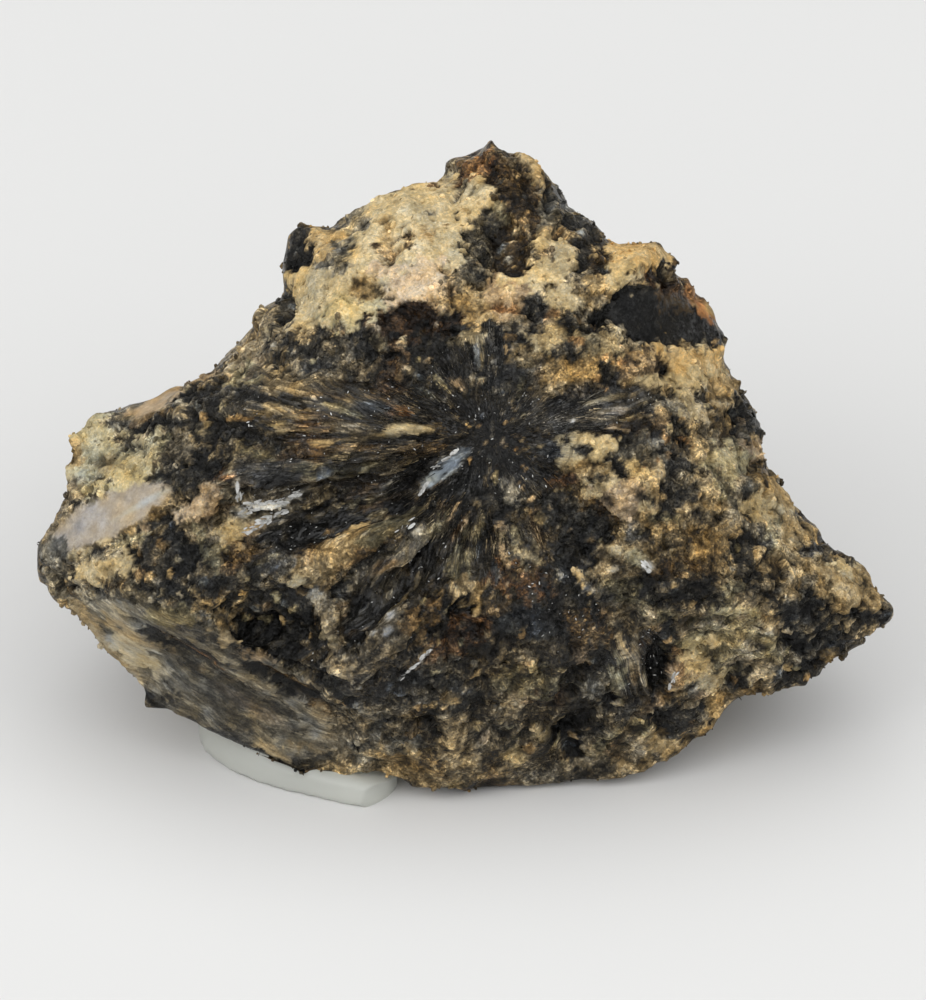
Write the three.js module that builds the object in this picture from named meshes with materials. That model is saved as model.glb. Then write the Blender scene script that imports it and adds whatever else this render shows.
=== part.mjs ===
// Manganonordite specimen, in millimetres, +Z up.
//
// The stone is one chip: a star of needle crystals spreads over its display face, grown together with a
// granular matrix. A lump of mounting gel, pressed under its left end, keeps it from rocking.
//
// The origin is on the resting plane, straight below the centre of the crystal star.

import * as THREE from 'three';
import { mergeVertices } from 'three/addons/utils/BufferGeometryUtils.js';
import { ImprovedNoise } from 'three/addons/math/ImprovedNoise.js';

// Driving dimensions.
const starHeight = 18.1; // from the resting plane to the centre of the star
const faceLean = THREE.MathUtils.degToRad(35); // how far the display face leans back from upright
const stoneBack = 17; // from the star's centre back to the stone's rear face
const heartDepth = -7; // the middle of the stone, measured outward from the star's centre
const gap = 0.3; // clearance between the stone and the gel
const meridians = 128; // mesh lines that run out from the star's centre
const parallels = 34; // mesh rings from the front of the stone to its back

// The display face has its own axes: right, up the face, and outward from it.
const right = new THREE.Vector3(1, 0, 0);
const up = new THREE.Vector3(0, Math.sin(faceLean), Math.cos(faceLean));
const outward = new THREE.Vector3(0, -Math.cos(faceLean), Math.sin(faceLean));
const starCentre = new THREE.Vector3(0, 0, starHeight);

const noise = new ImprovedNoise();

// Turns a point on the face's axes into a point on the resting plane's axes.
function fromFace(u, v, w) {
  const point = starCentre.clone();
  point.addScaledVector(right, u);
  point.addScaledVector(up, v);
  point.addScaledVector(outward, w);
  return point;
}

// The outline of the display face, from the peak round to the right: right, up and outward of the star.
const rightShoulder = [
  [0, 14.7, -7], [0.3, 14.2, -6.8], [1.8, 13.9, -6.6], [2.5, 13.3, -6.5], [3, 12.8, -6.5],
  [3.3, 12, -6.5], [3.7, 11.1, -6.6], [4.3, 11, -6.8], [4.8, 10.5, -7], [5.2, 9.8, -7.2],
  [6.3, 9.3, -7.5], [7, 9.4, -7.6], [7.8, 9.6, -7.6], [8.8, 8.4, -7.7], [9.3, 7.9, -7.8],
  [9.4, 7.3, -7.8], [10.6, 6.4, -8], [11.3, 5, -8], [11, 3.4, -7.8], [11.7, 2.4, -7.6],
  [12.3, 2.2, -7.5], [12.9, 1.5, -7.4], [13.1, 0.6, -7.3], [13, -0.3, -7.2], [13.3, -1.2, -7.1],
];
const rightTip = [
  [14.6, -2.7, -7], [15.9, -4.3, -7], [16.3, -5.2, -7], [17.9, -6.1, -7], [18.7, -6.9, -7],
  [19, -7.6, -7], [20, -8.5, -7], [19.3, -9.2, -7], [18.3, -9.6, -6.9], [17.3, -10.5, -6.8],
  [15.6, -11.8, -6.6], [14.5, -12.1, -6.5], [13.4, -12.8, -6.4], [12.5, -12.5, -6.3],
];
const bottomEdge = [
  [11.6, -12.7, -6.3], [10.9, -13.4, -6.3], [10.6, -14.4, -6.4], [10.2, -15, -6.5],
  [9, -15.5, -6.6], [7, -16.4, -6.8], [4, -16.6, -7], [0, -16.9, -7.1], [-2, -17, -6.5],
  [-3.5, -16.9, -6], [-5, -16.6, -5.5], [-6.5, -16.1, -5.2], [-8.1, -16.4, -5],
  [-9.5, -16, -5.3], [-11, -15.6, -5.9], [-12.5, -15, -6.4], [-13.7, -14.3, -6.6],
  [-14.6, -13.3, -6.8], [-15.5, -12.9, -6.9], [-16.9, -12.8, -7],
];
const leftEnd = [
  [-16.9, -11.9, -6.8], [-18.6, -10.4, -6.4], [-20, -8.3, -6], [-21.5, -6.7, -5.5],
  [-22, -5.4, -5], [-21.3, -4.3, -5], [-20.5, -3.7, -5], [-20.3, -1.8, -5.2], [-20.6, -0.9, -5.4],
  [-20.3, 0, -5.6], [-19.7, 0.8, -5.8], [-18.7, 1.1, -6], [-16.8, 1.7, -6.3], [-14.5, 2.9, -6.6],
];
const leftShoulder = [
  [-12.3, 4.5, -7], [-11.4, 5.2, -7], [-11.3, 6, -7], [-10, 7.3, -7], [-10.1, 8.7, -7],
  [-9.7, 9.2, -7], [-9.5, 10.1, -7], [-9, 10.5, -7], [-8.5, 10.2, -7], [-7, 10.4, -7],
  [-6.7, 11, -7], [-5.3, 11.8, -7], [-3.5, 12.5, -7], [-2.7, 12.1, -7], [-1.5, 12.7, -7],
  [-1.4, 13.3, -7], [-0.2, 14.2, -7],
];

// Broken faces towards the viewer: a point [right, up, outward] and how the face climbs outward per
// millimetre to the right and per millimetre up.
const frontFaces = [
  { at: [0, 0, 0.1], climb: [0.02, -0.08] }, // the upper field of the star
  { at: [-3, -6, 0.8], climb: [0.03, 0.08] }, // the lower field of the star
  { at: [0, 5, 0], climb: [0.05, -0.7] }, // the slope back to the peak
  { at: [7, 1, 0], climb: [-0.75, -0.35] }, // the slope away to the right tip
  { at: [11, -8.5, -2], climb: [-0.3, 0.9] }, // the face under the right tip
  { at: [0, -11, 0], climb: [0, 0.9] }, // the slope down to the resting edge
  { at: [-15.5, -9.5, -1.5], climb: [0.54, 1.6] }, // the steep face under the left end
  { at: [-9.5, -12, -1], climb: [0.85, 1.46] }, // its turn towards the resting edge
  { at: [-16, -2, -1], climb: [0.6, -0.1] }, // the left end
  { at: [-13, 1.5, -1.5], climb: [0.9, -1] }, // the slope behind the left plate
];

// Broken faces away from the viewer: which way each looks, and its distance from the star's centre.
const backFaces = [
  { looks: [0.12, 1, 0.1], distance: stoneBack }, // the rear wall
  { looks: [0, 0.72, 0.69], distance: 16.2 }, // the slope behind the peak
  { looks: [-0.72, 0.68, 0.15], distance: 18 }, // the rear left corner
  { looks: [0.75, 0.66, 0.05], distance: 15.4 }, // the rear right corner
  { looks: [0.5, 0.62, 0.6], distance: 15 }, // the right shoulder
  { looks: [-0.62, 0.5, 0.6], distance: 15.4 }, // the left shoulder
  { looks: [0, 0.6, -0.8], distance: 21.5 }, // the undercut at the rear
  { looks: [-0.24, 0, -0.97], distance: 17.9 }, // the undercut that the gel fills
  { looks: [0.42, 0, -0.91], distance: 19.6 }, // the undercut below the right tip
  { looks: [0, 0, -1], distance: starHeight + 1.5 }, // the base, cut flat at the resting plane
];

// Ridges and hollows of the display face, each along a line from [right, up] to [right, up].
const reliefs = [
  { from: [-14.5, 2], to: [-4, 0.8], halfWidth: 1.5, height: 0.8 }, // the long plate of crystals
  { from: [-13, -1], to: [-4, -0.6], halfWidth: 1.2, height: 0.5 }, // the plate below it
  { from: [-12, -4.7], to: [-2.5, -2], halfWidth: 1.1, height: -0.9 }, // the groove under both
  { from: [-9.8, -6.5], to: [-4, -4.5], halfWidth: 1, height: 0.7 }, // the tan wedge
  { from: [-7, -7.5], to: [-2, -5], halfWidth: 1, height: -0.6 }, // the dark cleft below it
  { from: [-7, -11], to: [-2, -8], halfWidth: 1.3, height: 0.7 }, // the brown wedge
  { from: [-12, -8.5], to: [-9.5, -10.5], halfWidth: 1.5, height: -1.3 }, // the cavity at the lower left
  { from: [-8, -8], to: [-7.3, -11.3], halfWidth: 0.7, height: 0.5 }, // the pillar beside the cavity
  { from: [-15, 3], to: [-11.5, 3.2], halfWidth: 0.8, height: -1 }, // the well behind the long plate
  { from: [-5.5, 10.5], to: [-2.5, 8], halfWidth: 2.4, height: 0.9 }, // the pale block under the peak
  { from: [0.5, 14], to: [2, 9.5], halfWidth: 1, height: 0.5 }, // the dark rib below the peak
  { from: [5, 8.9], to: [8.5, 9], halfWidth: 0.9, height: 1.1 }, // the ledge over the glossy lens
  { from: [4.5, 6.2], to: [10.5, 5.2], halfWidth: 1.2, height: -0.8 }, // the recess of the glossy lens
  { from: [4, -0.5], to: [7, -3], halfWidth: 1.4, height: 0.5 }, // the pale hump right of the star
  { from: [9, -7.5], to: [18.5, -8], halfWidth: 1.5, height: 0.8 }, // the ridge out to the tip
  { from: [-20, -7.3], to: [-11, -10.4], halfWidth: 1, height: 0.6 }, // the edge of the left end
  { from: [-1, -14], to: [3, -13], halfWidth: 2.4, height: 0.6 }, // the bulge above the resting edge
];

// A rounded minimum, so that two broken faces meet in a worn edge.
function softMinimum(values, rounding) {
  const total = values.reduce((sum, value) => sum + Math.exp(-value / rounding), 0);
  return -rounding * Math.log(total);
}

// The outline's points by their angle about the star's centre.
const outline = [...rightShoulder, ...rightTip, ...bottomEdge, ...leftEnd, ...leftShoulder]
  .map(([u, v, w]) => ({ angle: Math.atan2(v, u), point: new THREE.Vector3(u, v, w) }))
  .sort((a, b) => a.angle - b.angle);

// The point of the outline at an angle, between the two given points on either side of it.
function outlineAt(angle) {
  const fullTurn = 2 * Math.PI;
  const next = Math.max(0, outline.findIndex((entry) => entry.angle > angle));
  const after = outline[next];
  const before = outline.at(next - 1);
  const span = (after.angle - before.angle + fullTurn) % fullTurn;
  const passed = (angle - before.angle + fullTurn) % fullTurn;
  return before.point.clone().lerp(after.point, passed / span);
}

// How far a relief lifts the face at a point: a rounded bar along its line.
function liftOf({ from, to, halfWidth, height }, u, v) {
  const start = new THREE.Vector2(...from);
  const run = new THREE.Vector2(...to).sub(start);
  const offset = new THREE.Vector2(u, v).sub(start);
  const along = THREE.MathUtils.clamp(offset.dot(run) / run.lengthSq(), 0, 1);
  const distance = offset.addScaledVector(run, -along).length();
  return height * Math.exp(-((distance / halfWidth) ** 2));
}

// How strongly the needles of the star show at a point: 1 inside the star, 0 outside it.
function starStrength(u, v) {
  const middle = [-3.5, -3];
  const halfSize = [11.5, 9];
  const fromMiddle = Math.hypot((u - middle[0]) / halfSize[0], (v - middle[1]) / halfSize[1]);
  return 1 - THREE.MathUtils.smoothstep(fromMiddle, 0.85, 1.15);
}

// Flutes that run out from the star's centre, deeper the further they run.
function fluting(u, v) {
  const flutesPerRadian = 7;
  const depthPerMillimetre = 0.06;
  const angle = Math.atan2(v, u);
  const wave = noise.noise(flutesPerRadian * Math.cos(angle), flutesPerRadian * Math.sin(angle), 0.5);
  return depthPerMillimetre * Math.hypot(u, v) * wave * starStrength(u, v);
}

// The lumps of the granular matrix around the star.
function lumps(u, v) {
  const size = 2.6;
  const height = 0.5;
  return height * noise.noise(u / size, v / size, 8.5) * (1 - starStrength(u, v));
}

// The height of the display face above the star's centre.
function frontDepth(u, v) {
  const edgeRounding = 0.5;
  const faces = frontFaces.map(({ at, climb }) => at[2] + climb[0] * (u - at[0]) + climb[1] * (v - at[1]));
  const lift = reliefs.reduce((sum, relief) => sum + liftOf(relief, u, v), 0);
  return softMinimum(faces, edgeRounding) + lift + fluting(u, v) + lumps(u, v);
}

// Rubble on the broken faces: a shift that wanders smoothly with the place.
function rubbleAt(point, size, strength) {
  const place = point.clone().divideScalar(size);
  return new THREE.Vector3(
    noise.noise(place.x, place.y, place.z),
    noise.noise(place.y + 31.7, place.z, place.x),
    noise.noise(place.z, place.x + 53.1, place.y),
  ).multiplyScalar(strength);
}

// Where a line from the stone's heart leaves the last of its broken faces at the back, never further out
// than the outline in front of it.
function backPoint(direction, rim) {
  const edgeRounding = 0.35;
  const grazing = 0.02;
  const line = fromFace(direction.x, direction.y, direction.z).sub(starCentre);
  const distances = backFaces.map(({ looks, distance }) => {
    const normal = new THREE.Vector3(...looks).normalize();
    const facing = normal.dot(line);
    const clearance = distance - normal.dot(outward) * heartDepth;
    return facing > grazing ? clearance / facing : Infinity;
  });
  const offset = direction.clone().multiplyScalar(softMinimum(distances, edgeRounding));
  offset.add(rubbleAt(offset, 6.5, 1.6));
  offset.add(rubbleAt(offset, 2.4, 0.6));
  const spill = Math.max(1, Math.hypot(offset.x, offset.y) / Math.hypot(rim.x, rim.y));
  return fromFace(offset.x / spill, offset.y / spill, heartDepth + offset.z);
}

// Where a direction from the stone's heart meets its surface. The front pole is the star's centre, the
// equator is the outline, and the far pole is straight behind the star.
function stonePoint(direction) {
  const crowding = 0.25; // how much closer together the mesh rings lie towards the outline
  const frontEdge = 8; // the higher this power, the sharper the face turns down to the outline
  const backEdge = 6; // the same behind the outline
  const fromFront = Math.acos(THREE.MathUtils.clamp(direction.z, -1, 1)) / (Math.PI / 2);
  const outwards = Math.min(fromFront, 2 - fromFront);
  const rim = outlineAt(Math.atan2(direction.y, direction.x));
  const point = new THREE.Vector3();
  if (fromFront < 1) {
    const reach = outwards * (1 + crowding - crowding * outwards ** 3);
    const u = reach * rim.x;
    const v = reach * rim.y;
    const w = THREE.MathUtils.lerp(frontDepth(u, v), rim.z, outwards ** frontEdge);
    point.copy(fromFace(u, v, w));
  } else {
    const edge = fromFace(rim.x, rim.y, rim.z);
    point.copy(backPoint(direction, rim)).lerp(edge, outwards ** backEdge);
  }
  point.z = Math.max(point.z, 0);
  return point;
}

// A sphere's mesh as bare positions, with its front pole along +Z and its seam closed.
function sphereMesh(around, along) {
  const sphere = new THREE.SphereGeometry(1, around, along);
  sphere.rotateX(Math.PI / 2);
  sphere.deleteAttribute('normal');
  sphere.deleteAttribute('uv');
  return mergeVertices(sphere);
}

// Moves every vertex of a geometry to where a function puts it.
function reshape(geometry, place) {
  const positions = geometry.getAttribute('position');
  for (let index = 0; index < positions.count; index += 1) {
    const point = place(new THREE.Vector3().fromBufferAttribute(positions, index));
    positions.setXYZ(index, point.x, point.y, point.z);
  }
  geometry.computeVertexNormals();
  return geometry;
}

// The outline of the gel on the resting plane, from its left end round by the front.
const gelOutline = new THREE.CatmullRomCurve3(
  [
    [-14.4, 0.4], [-13.6, -1.4], [-11.5, -3.2], [-8, -4.7], [-5.2, -5.6], [-3.7, -5.5], [-3.8, -4.8],
    [-4.9, -3], [-5.2, 1], [-6.4, 5], [-9, 6.4], [-12.2, 5], [-14, 2.6],
  ].map(([x, y]) => new THREE.Vector3(x, y, 0)),
  true,
);

// How far above a spot on the resting plane the underside of the stone is.
function undersideAbove(spot, stone) {
  const ray = new THREE.Raycaster(new THREE.Vector3(spot.x, spot.y, -1), new THREE.Vector3(0, 0, 1));
  const [hit] = ray.intersectObject(stone);
  return hit ? hit.point.z : Infinity;
}

// The lump of gel. Its top is a dome of its own, except where the stone presses it down.
function gelGeometry(stone) {
  const middle = new THREE.Vector3(-9, 0.6, 0);
  const domeHeight = 4.2;
  const thinnest = 0.12;
  const meshLines = 32;
  const meshRings = 12;
  const edge = gelOutline.getSpacedPoints(10 * meshLines).map((point) => point.sub(middle));
  const turnBetween = (point, direction) => point.clone().normalize().dot(direction);
  return reshape(sphereMesh(meshLines, meshRings), (onSphere) => {
    const reach = Math.hypot(onSphere.x, onSphere.y);
    const direction = new THREE.Vector3(onSphere.x, onSphere.y, 0).normalize();
    const facing = edge.map((point) => turnBetween(point, direction));
    const nearest = edge[facing.indexOf(Math.max(...facing))];
    const point = nearest.clone().multiplyScalar(reach).add(middle);
    if (onSphere.z > 0.01) {
      const room = undersideAbove(point, stone) - gap;
      point.z = Math.max(thinnest, Math.min(domeHeight * onSphere.z, room));
    }
    return point;
  });
}

const stoneSurface = new THREE.MeshStandardMaterial({ color: 0x58503f, roughness: 0.7, metalness: 0 });
const gelSurface = new THREE.MeshStandardMaterial({ color: 0xc8cbc3, roughness: 0.25, metalness: 0 });

const specimen = new THREE.Group();

const rock = new THREE.Mesh(reshape(sphereMesh(meridians, parallels), stonePoint), stoneSurface);
rock.name = 'rock';
specimen.add(rock);

const gel = new THREE.Mesh(gelGeometry(rock), gelSurface);
gel.name = 'mounting_gel';
specimen.add(gel);

export default specimen;
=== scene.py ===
# %% [markdown]
# # A chip of rock with a star of needle crystals
#
# The stone is one broken chip. Dark needles of manganonordite spread over its display face from one
# point, and around them lies a crumbly matrix of cream, tan, rusty and black grains. A lump of clear gel
# props its left end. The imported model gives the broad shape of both. This lesson makes their surfaces.

# %% Load the fixed frame
import itertools
import math
from collections import namedtuple
from functools import partial

import bmesh
import bpy
import numpy as np
from mathutils import Matrix, Vector


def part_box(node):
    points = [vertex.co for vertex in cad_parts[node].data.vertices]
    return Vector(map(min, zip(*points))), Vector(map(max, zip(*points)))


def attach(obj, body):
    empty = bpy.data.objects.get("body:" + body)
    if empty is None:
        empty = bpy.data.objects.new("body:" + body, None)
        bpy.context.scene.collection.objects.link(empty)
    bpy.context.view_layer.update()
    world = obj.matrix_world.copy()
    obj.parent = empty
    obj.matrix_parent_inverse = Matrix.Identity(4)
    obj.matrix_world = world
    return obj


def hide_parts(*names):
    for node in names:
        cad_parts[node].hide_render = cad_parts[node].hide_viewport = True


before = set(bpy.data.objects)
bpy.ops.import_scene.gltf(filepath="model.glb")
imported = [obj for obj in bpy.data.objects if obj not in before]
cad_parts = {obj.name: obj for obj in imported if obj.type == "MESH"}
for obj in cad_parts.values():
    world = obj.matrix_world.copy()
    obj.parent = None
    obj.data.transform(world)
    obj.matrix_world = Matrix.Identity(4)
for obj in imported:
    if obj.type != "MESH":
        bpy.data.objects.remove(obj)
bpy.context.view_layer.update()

rock_low, rock_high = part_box("rock")
gel_low, gel_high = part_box("mounting_gel")

# %% [markdown]
# ## The display face has axes of its own
#
# Everything on the display face is easiest to place on the face itself: so far right of the star's centre,
# so far up the face, and so far outward from it. The face leans back, so these axes are turned from the
# frame's axes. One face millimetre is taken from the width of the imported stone.

# %% Axes and scale of the display face
STONE_WIDTH = 41.53
MM = (rock_high.x - rock_low.x) / STONE_WIDTH
STAR_HEIGHT = 18.1 * MM
LEAN = math.radians(35)
RIGHT = np.array([1.0, 0.0, 0.0])
UP = np.array([0.0, math.sin(LEAN), math.cos(LEAN)])
OUTWARD = np.array([0.0, -math.cos(LEAN), math.sin(LEAN)])
FACE_AXES = np.array([RIGHT, UP, OUTWARD])
STAR_CENTRE = np.array([0.0, 0.0, STAR_HEIGHT])


def from_face(places):
    """Millimetres right, up and outward on the display face, as points of the frame in metres."""
    return STAR_CENTRE + np.asarray(places) * MM @ FACE_AXES


print("one face millimetre is", round(MM * 1000, 4), "mm of the frame")

# %% [markdown]
# ## Camera, light and floor
#
# The camera looks straight at the display face through a long lens, as for a close-up on a bench. A broad
# soft lamp hangs overhead, and two weaker ones fill the shadows from the sides. The floor is a plain pale
# card, so that nothing but the stone carries colour.

# %% Camera
VIEW_DISTANCE = 500
VIEW_HEIGHT = 48.4
VIEW_RIGHT = -1.4
VIEW_UP = -2.9
OUTLINE_DEPTH = -7
camera_data = bpy.data.cameras.new("camera")
camera_data.sensor_width = 36
camera_data.lens = camera_data.sensor_width * VIEW_DISTANCE / VIEW_HEIGHT
camera_data.clip_start = 0.01
camera_data.clip_end = 10
camera = bpy.data.objects.new("camera", camera_data)
eye = from_face([VIEW_RIGHT, VIEW_UP, OUTLINE_DEPTH + VIEW_DISTANCE])
camera.matrix_world = Matrix.Translation(eye) @ Matrix(FACE_AXES.T).to_4x4()
bpy.context.scene.collection.objects.link(camera)
bpy.context.scene.camera = camera
print("lens", round(camera_data.lens, 1), "mm")


# %% Lamps
def soft_lamp(name, direction, distance, size, watts, colour):
    """A square lamp at a distance from the stone, turned towards it."""
    lamp_data = bpy.data.lights.new(name, "AREA")
    lamp_data.size = size
    lamp_data.energy = watts
    lamp_data.color = colour
    lamp = bpy.data.objects.new(name, lamp_data)
    towards = Vector(direction).normalized()
    lamp.location = Vector((0, 0, STAR_HEIGHT)) + towards * distance
    lamp.rotation_euler = towards.to_track_quat("Z", "Y").to_euler()
    bpy.context.scene.collection.objects.link(lamp)
    return lamp


WHITE_LIGHT = (1.0, 1.0, 1.0)
WARM_LIGHT = (1.0, 0.99, 0.98)
SKY_LIGHT = (0.97, 0.985, 1.0)
soft_lamp("overhead_lamp", (-0.10, -0.25, 1.0), distance=0.8, size=2.5, watts=21.5, colour=WHITE_LIGHT)
soft_lamp("left_lamp", (-1.0, -0.6, 0.8), distance=0.6, size=0.4, watts=0.8, colour=WARM_LIGHT)
soft_lamp("right_lamp", (1.0, -0.5, 0.8), distance=0.6, size=0.4, watts=0.6, colour=WARM_LIGHT)

world = bpy.data.worlds.new("studio")
world.use_nodes = True
studio_light = world.node_tree.nodes["Background"]
studio_light.inputs["Color"].default_value = (*SKY_LIGHT, 1)
studio_light.inputs["Strength"].default_value = 0.18
bpy.context.scene.world = world
bpy.context.scene.view_settings.view_transform = "Standard"

# %% [markdown]
# ## Writing materials as arithmetic
#
# A material's pattern is arithmetic on positions and noise. One small class stands for a node's output and
# lets Python's operators add the Math nodes. Every other node comes from one method, which takes the
# node's settings first and then the value or link of each socket.


# %% A material as Python expressions
class Output:
    """One output of a node. Arithmetic on it adds Math nodes to its material."""

    def __init__(self, finish, socket):
        self.finish = finish
        self.socket = socket

    def __add__(self, other):
        return self.finish.math("ADD", self, other)

    def __mul__(self, other):
        return self.finish.math("MULTIPLY", self, other)

    def __sub__(self, other):
        return self.finish.math("SUBTRACT", self, other)

    def __rsub__(self, other):
        return self.finish.math("SUBTRACT", other, self)

    def __truediv__(self, other):
        return self.finish.math("DIVIDE", self, other)

    __radd__ = __add__
    __rmul__ = __mul__


class Finish:
    """A material, and the nodes that make it."""

    def __init__(self, name):
        self.material = bpy.data.materials.new(name)
        self.material.use_nodes = True
        self.tree = self.material.node_tree
        self.tree.nodes.clear()

    def feed(self, socket, value):
        """Gives a socket a link or a plain value."""
        if isinstance(value, Output):
            self.tree.links.new(value.socket, socket)
        else:
            socket.default_value = value

    def node(self, kind, settings=None, inputs=None, output=0):
        """Adds a node, with its settings first and then its sockets, and gives one output back."""
        made = self.tree.nodes.new("ShaderNode" + kind)
        for name, value in (settings or {}).items():
            setattr(made, name, value)
        for name, value in (inputs or {}).items():
            self.feed(made.inputs[name], value)
        return Output(self, made.outputs[output]) if made.outputs else made

    def math(self, operation, *values):
        """A Math node on one or two values."""
        return self.node("Math", {"operation": operation}, dict(enumerate(values)))

    def step(self, value, low, high):
        """A soft step from 0 at low to 1 at high."""
        inputs = {"Value": value, "From Min": low, "From Max": high}
        return self.node("MapRange", {"interpolation_type": "SMOOTHSTEP"}, inputs)

    def mix(self, factor, below, above):
        """One colour laid over another."""
        below, above = (c if isinstance(c, Output) else (*c, 1) for c in (below, above))
        inputs = {0: factor, 6: below, 7: above}
        return self.node("Mix", {"data_type": "RGBA"}, inputs, output=2)

    def noise(self, place, scale, detail=2.0, roughness=0.5):
        """Smooth noise around a half."""
        inputs = {"Vector": place, "Scale": scale, "Detail": detail, "Roughness": roughness}
        return self.node("TexNoise", {}, inputs)

    def attribute(self, name, output="Fac"):
        """What a mesh holds at each of its points under that name."""
        return self.node("Attribute", {"attribute_name": name}, {}, output)

    def place(self):
        """The place on the piece, in millimetres."""
        metres = self.node("TexCoord", output="Object")
        return self.node("VectorMath", {"operation": "SCALE"}, {0: metres, "Scale": 1 / MM})

    def finish_with(self, shader, volume=None):
        """Connects a shader to the material's end and gives the material back."""
        inputs = {"Surface": shader} if volume is None else {"Surface": shader, "Volume": volume}
        self.node("OutputMaterial", {}, inputs)
        return self.material


def linear(shares):
    """Screen colours from 0 to 1, as the linear values that a shader takes."""
    return np.where(shares <= 0.04045, shares / 12.92, ((shares + 0.055) / 1.055) ** 2.4)


def srgb(red, green, blue):
    """A colour on a 0 to 255 screen scale, as linear values."""
    return tuple(float(share) for share in linear(np.array([red, green, blue]) / 255))


print("grey 128 is", round(srgb(128, 128, 128)[0], 3), "in linear light")

# %% [markdown]
# ## The floor
#
# A wide disc of matt card. It is far larger than the stone, so that its edge never shows. It lies a hair
# above the resting plane, so that it never fights with the flat bottom of the gel.

# %% Floor
FLOOR_RADIUS = 1.5
FLOOR_LIFT = 0.02


def build_floor():
    """The card, staged so that it isn't part of the object."""
    mesh = bpy.data.meshes.new("floor")
    shape = bmesh.new()
    bmesh.ops.create_circle(shape, cap_ends=True, segments=64, radius=FLOOR_RADIUS)
    shape.to_mesh(mesh)
    shape.free()
    # The card, linked to the scene alone and not to a body, so that it isn't part of the object.
    card = Finish("pale_card")
    colour = (*srgb(222, 222, 221), 1)
    surface = card.node("BsdfPrincipled", {}, {"Base Color": colour, "Roughness": 0.85})
    mesh.materials.append(card.finish_with(surface))
    floor = bpy.data.objects.new("floor", mesh)
    floor.location.z = FLOOR_LIFT * MM
    bpy.context.scene.collection.objects.link(floor)
    return floor


build_floor()
print("floor radius", FLOOR_RADIUS, "m")

# %% [markdown]
# ## Steady randomness
#
# Rock is irregular at every size. Two kinds of noise make that here, both worked out from the place alone,
# so that each run gives the same stone. The first wanders smoothly. The second splits space into grains
# and says how near the middle of its grain a point is.

# %% Noise
SCRAMBLE_AXES = np.array([127.1, 311.7, 74.7])
SCRAMBLE_SEED = 53.3
SCRAMBLE = 43758.5453


def hashed(cells, seed):
    """A steady random number from 0 to 1 for each row of whole numbers."""
    mixed = np.sin(cells @ SCRAMBLE_AXES + SCRAMBLE_SEED * seed)
    return np.modf(np.abs(mixed) * SCRAMBLE)[0]


def wander(places, size, seed):
    """Smooth noise from -1 to 1, with lumps of about the given size."""
    scaled = places / size
    corner = np.floor(scaled)
    inside = scaled - corner
    blend = inside * inside * (3 - 2 * inside)
    total = np.zeros(len(places))
    for offset in itertools.product((0, 1), repeat=3):
        share = np.prod(np.where(offset, blend, 1 - blend), axis=1)
        total += share * hashed(corner + offset, seed)
    return 2 * total - 1


def grain(places, size, seed):
    """Splits space into grains: nearness to a grain's middle, its number, its slope, and its middle.

    The number is random, from 0 to 1. The slope is the height of a flat facet with a random tilt, so that
    neighbouring grains meet in edges and steps. The middle is given as its offset from the place.
    """
    scaled = places / size
    home = np.floor(scaled)
    nearest = np.full(len(places), np.inf)
    number = np.zeros(len(places))
    slope = np.zeros(len(places))
    to_middle = np.zeros(places.shape)
    for offset in itertools.product((-1, 0, 1), repeat=3):
        cell = home + offset
        middle = cell + np.stack([hashed(cell, seed + axis) for axis in (0.1, 0.2, 0.3)], axis=1)
        away = scaled - middle
        distance = np.linalg.norm(away, axis=1)
        closer = distance < nearest
        nearest[closer] = distance[closer]
        number[closer] = hashed(cell[closer], seed + 0.4)
        tilt = np.stack([hashed(cell[closer], seed + axis) for axis in (0.5, 0.6, 0.7)], axis=1)
        slope[closer] = np.sum((2 * tilt - 1) * away[closer], axis=1)
        to_middle[closer] = -size * away[closer]
    return np.clip(1 - nearest, 0, 1), number, slope, to_middle


def bent(places, by, size, seed):
    """Places moved by smooth noise, so that a pattern read at them loses its straight edges."""
    return places + by * np.stack([wander(places, size, seed + axis) for axis in range(3)], 1)


def soft_step(values, low, high):
    """A soft step from 0 at low to 1 at high."""
    share = np.clip((values - low) / (high - low), 0, 1)
    return share * share * (3 - 2 * share)


print("noise at the star's centre:", wander(np.zeros((1, 3)), 1.0, 1))

# %% [markdown]
# ## The stone's mesh
#
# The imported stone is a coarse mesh. A copy is welded, remeshed into even cells and smoothed, and then the
# cells of the display side are divided once more, because that side is seen closest. From here on, every
# pattern is a list of values, one for each point of this mesh. The first is how far the point faces the
# display side: 1 in front, 0 at the back.

# %% Remesh the stone
BASE_CELL = 0.32
DISPLAY_DEPTH = -9
DISPLAY_TILT = 0.05


def applied(thing):
    """A new mesh of an object with its modifiers applied."""
    depsgraph = bpy.context.evaluated_depsgraph_get()
    return bpy.data.meshes.new_from_object(thing.evaluated_get(depsgraph))


def even_mesh(node, cell, smoothing):
    """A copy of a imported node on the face's axes, in millimetres, as even cells."""
    shape = bmesh.new()
    shape.from_mesh(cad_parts[node].data)
    bmesh.ops.remove_doubles(shape, verts=shape.verts, dist=1e-6)
    bmesh.ops.transform(shape, matrix=Matrix.Translation(-Vector(STAR_CENTRE)), verts=shape.verts)
    bmesh.ops.transform(shape, matrix=Matrix(FACE_AXES / MM).to_4x4(), verts=shape.verts)
    mesh = bpy.data.meshes.new(node + "_even")
    shape.to_mesh(mesh)
    shape.free()
    thing = bpy.data.objects.new(node + "_even", mesh)
    bpy.context.scene.collection.objects.link(thing)
    remesh = thing.modifiers.new("even", "REMESH")
    remesh.mode = "VOXEL"
    remesh.voxel_size = cell
    smooth = thing.modifiers.new("smooth", "SMOOTH")
    smooth.iterations = smoothing
    result = applied(thing)
    bpy.data.objects.remove(thing)
    return result


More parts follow.
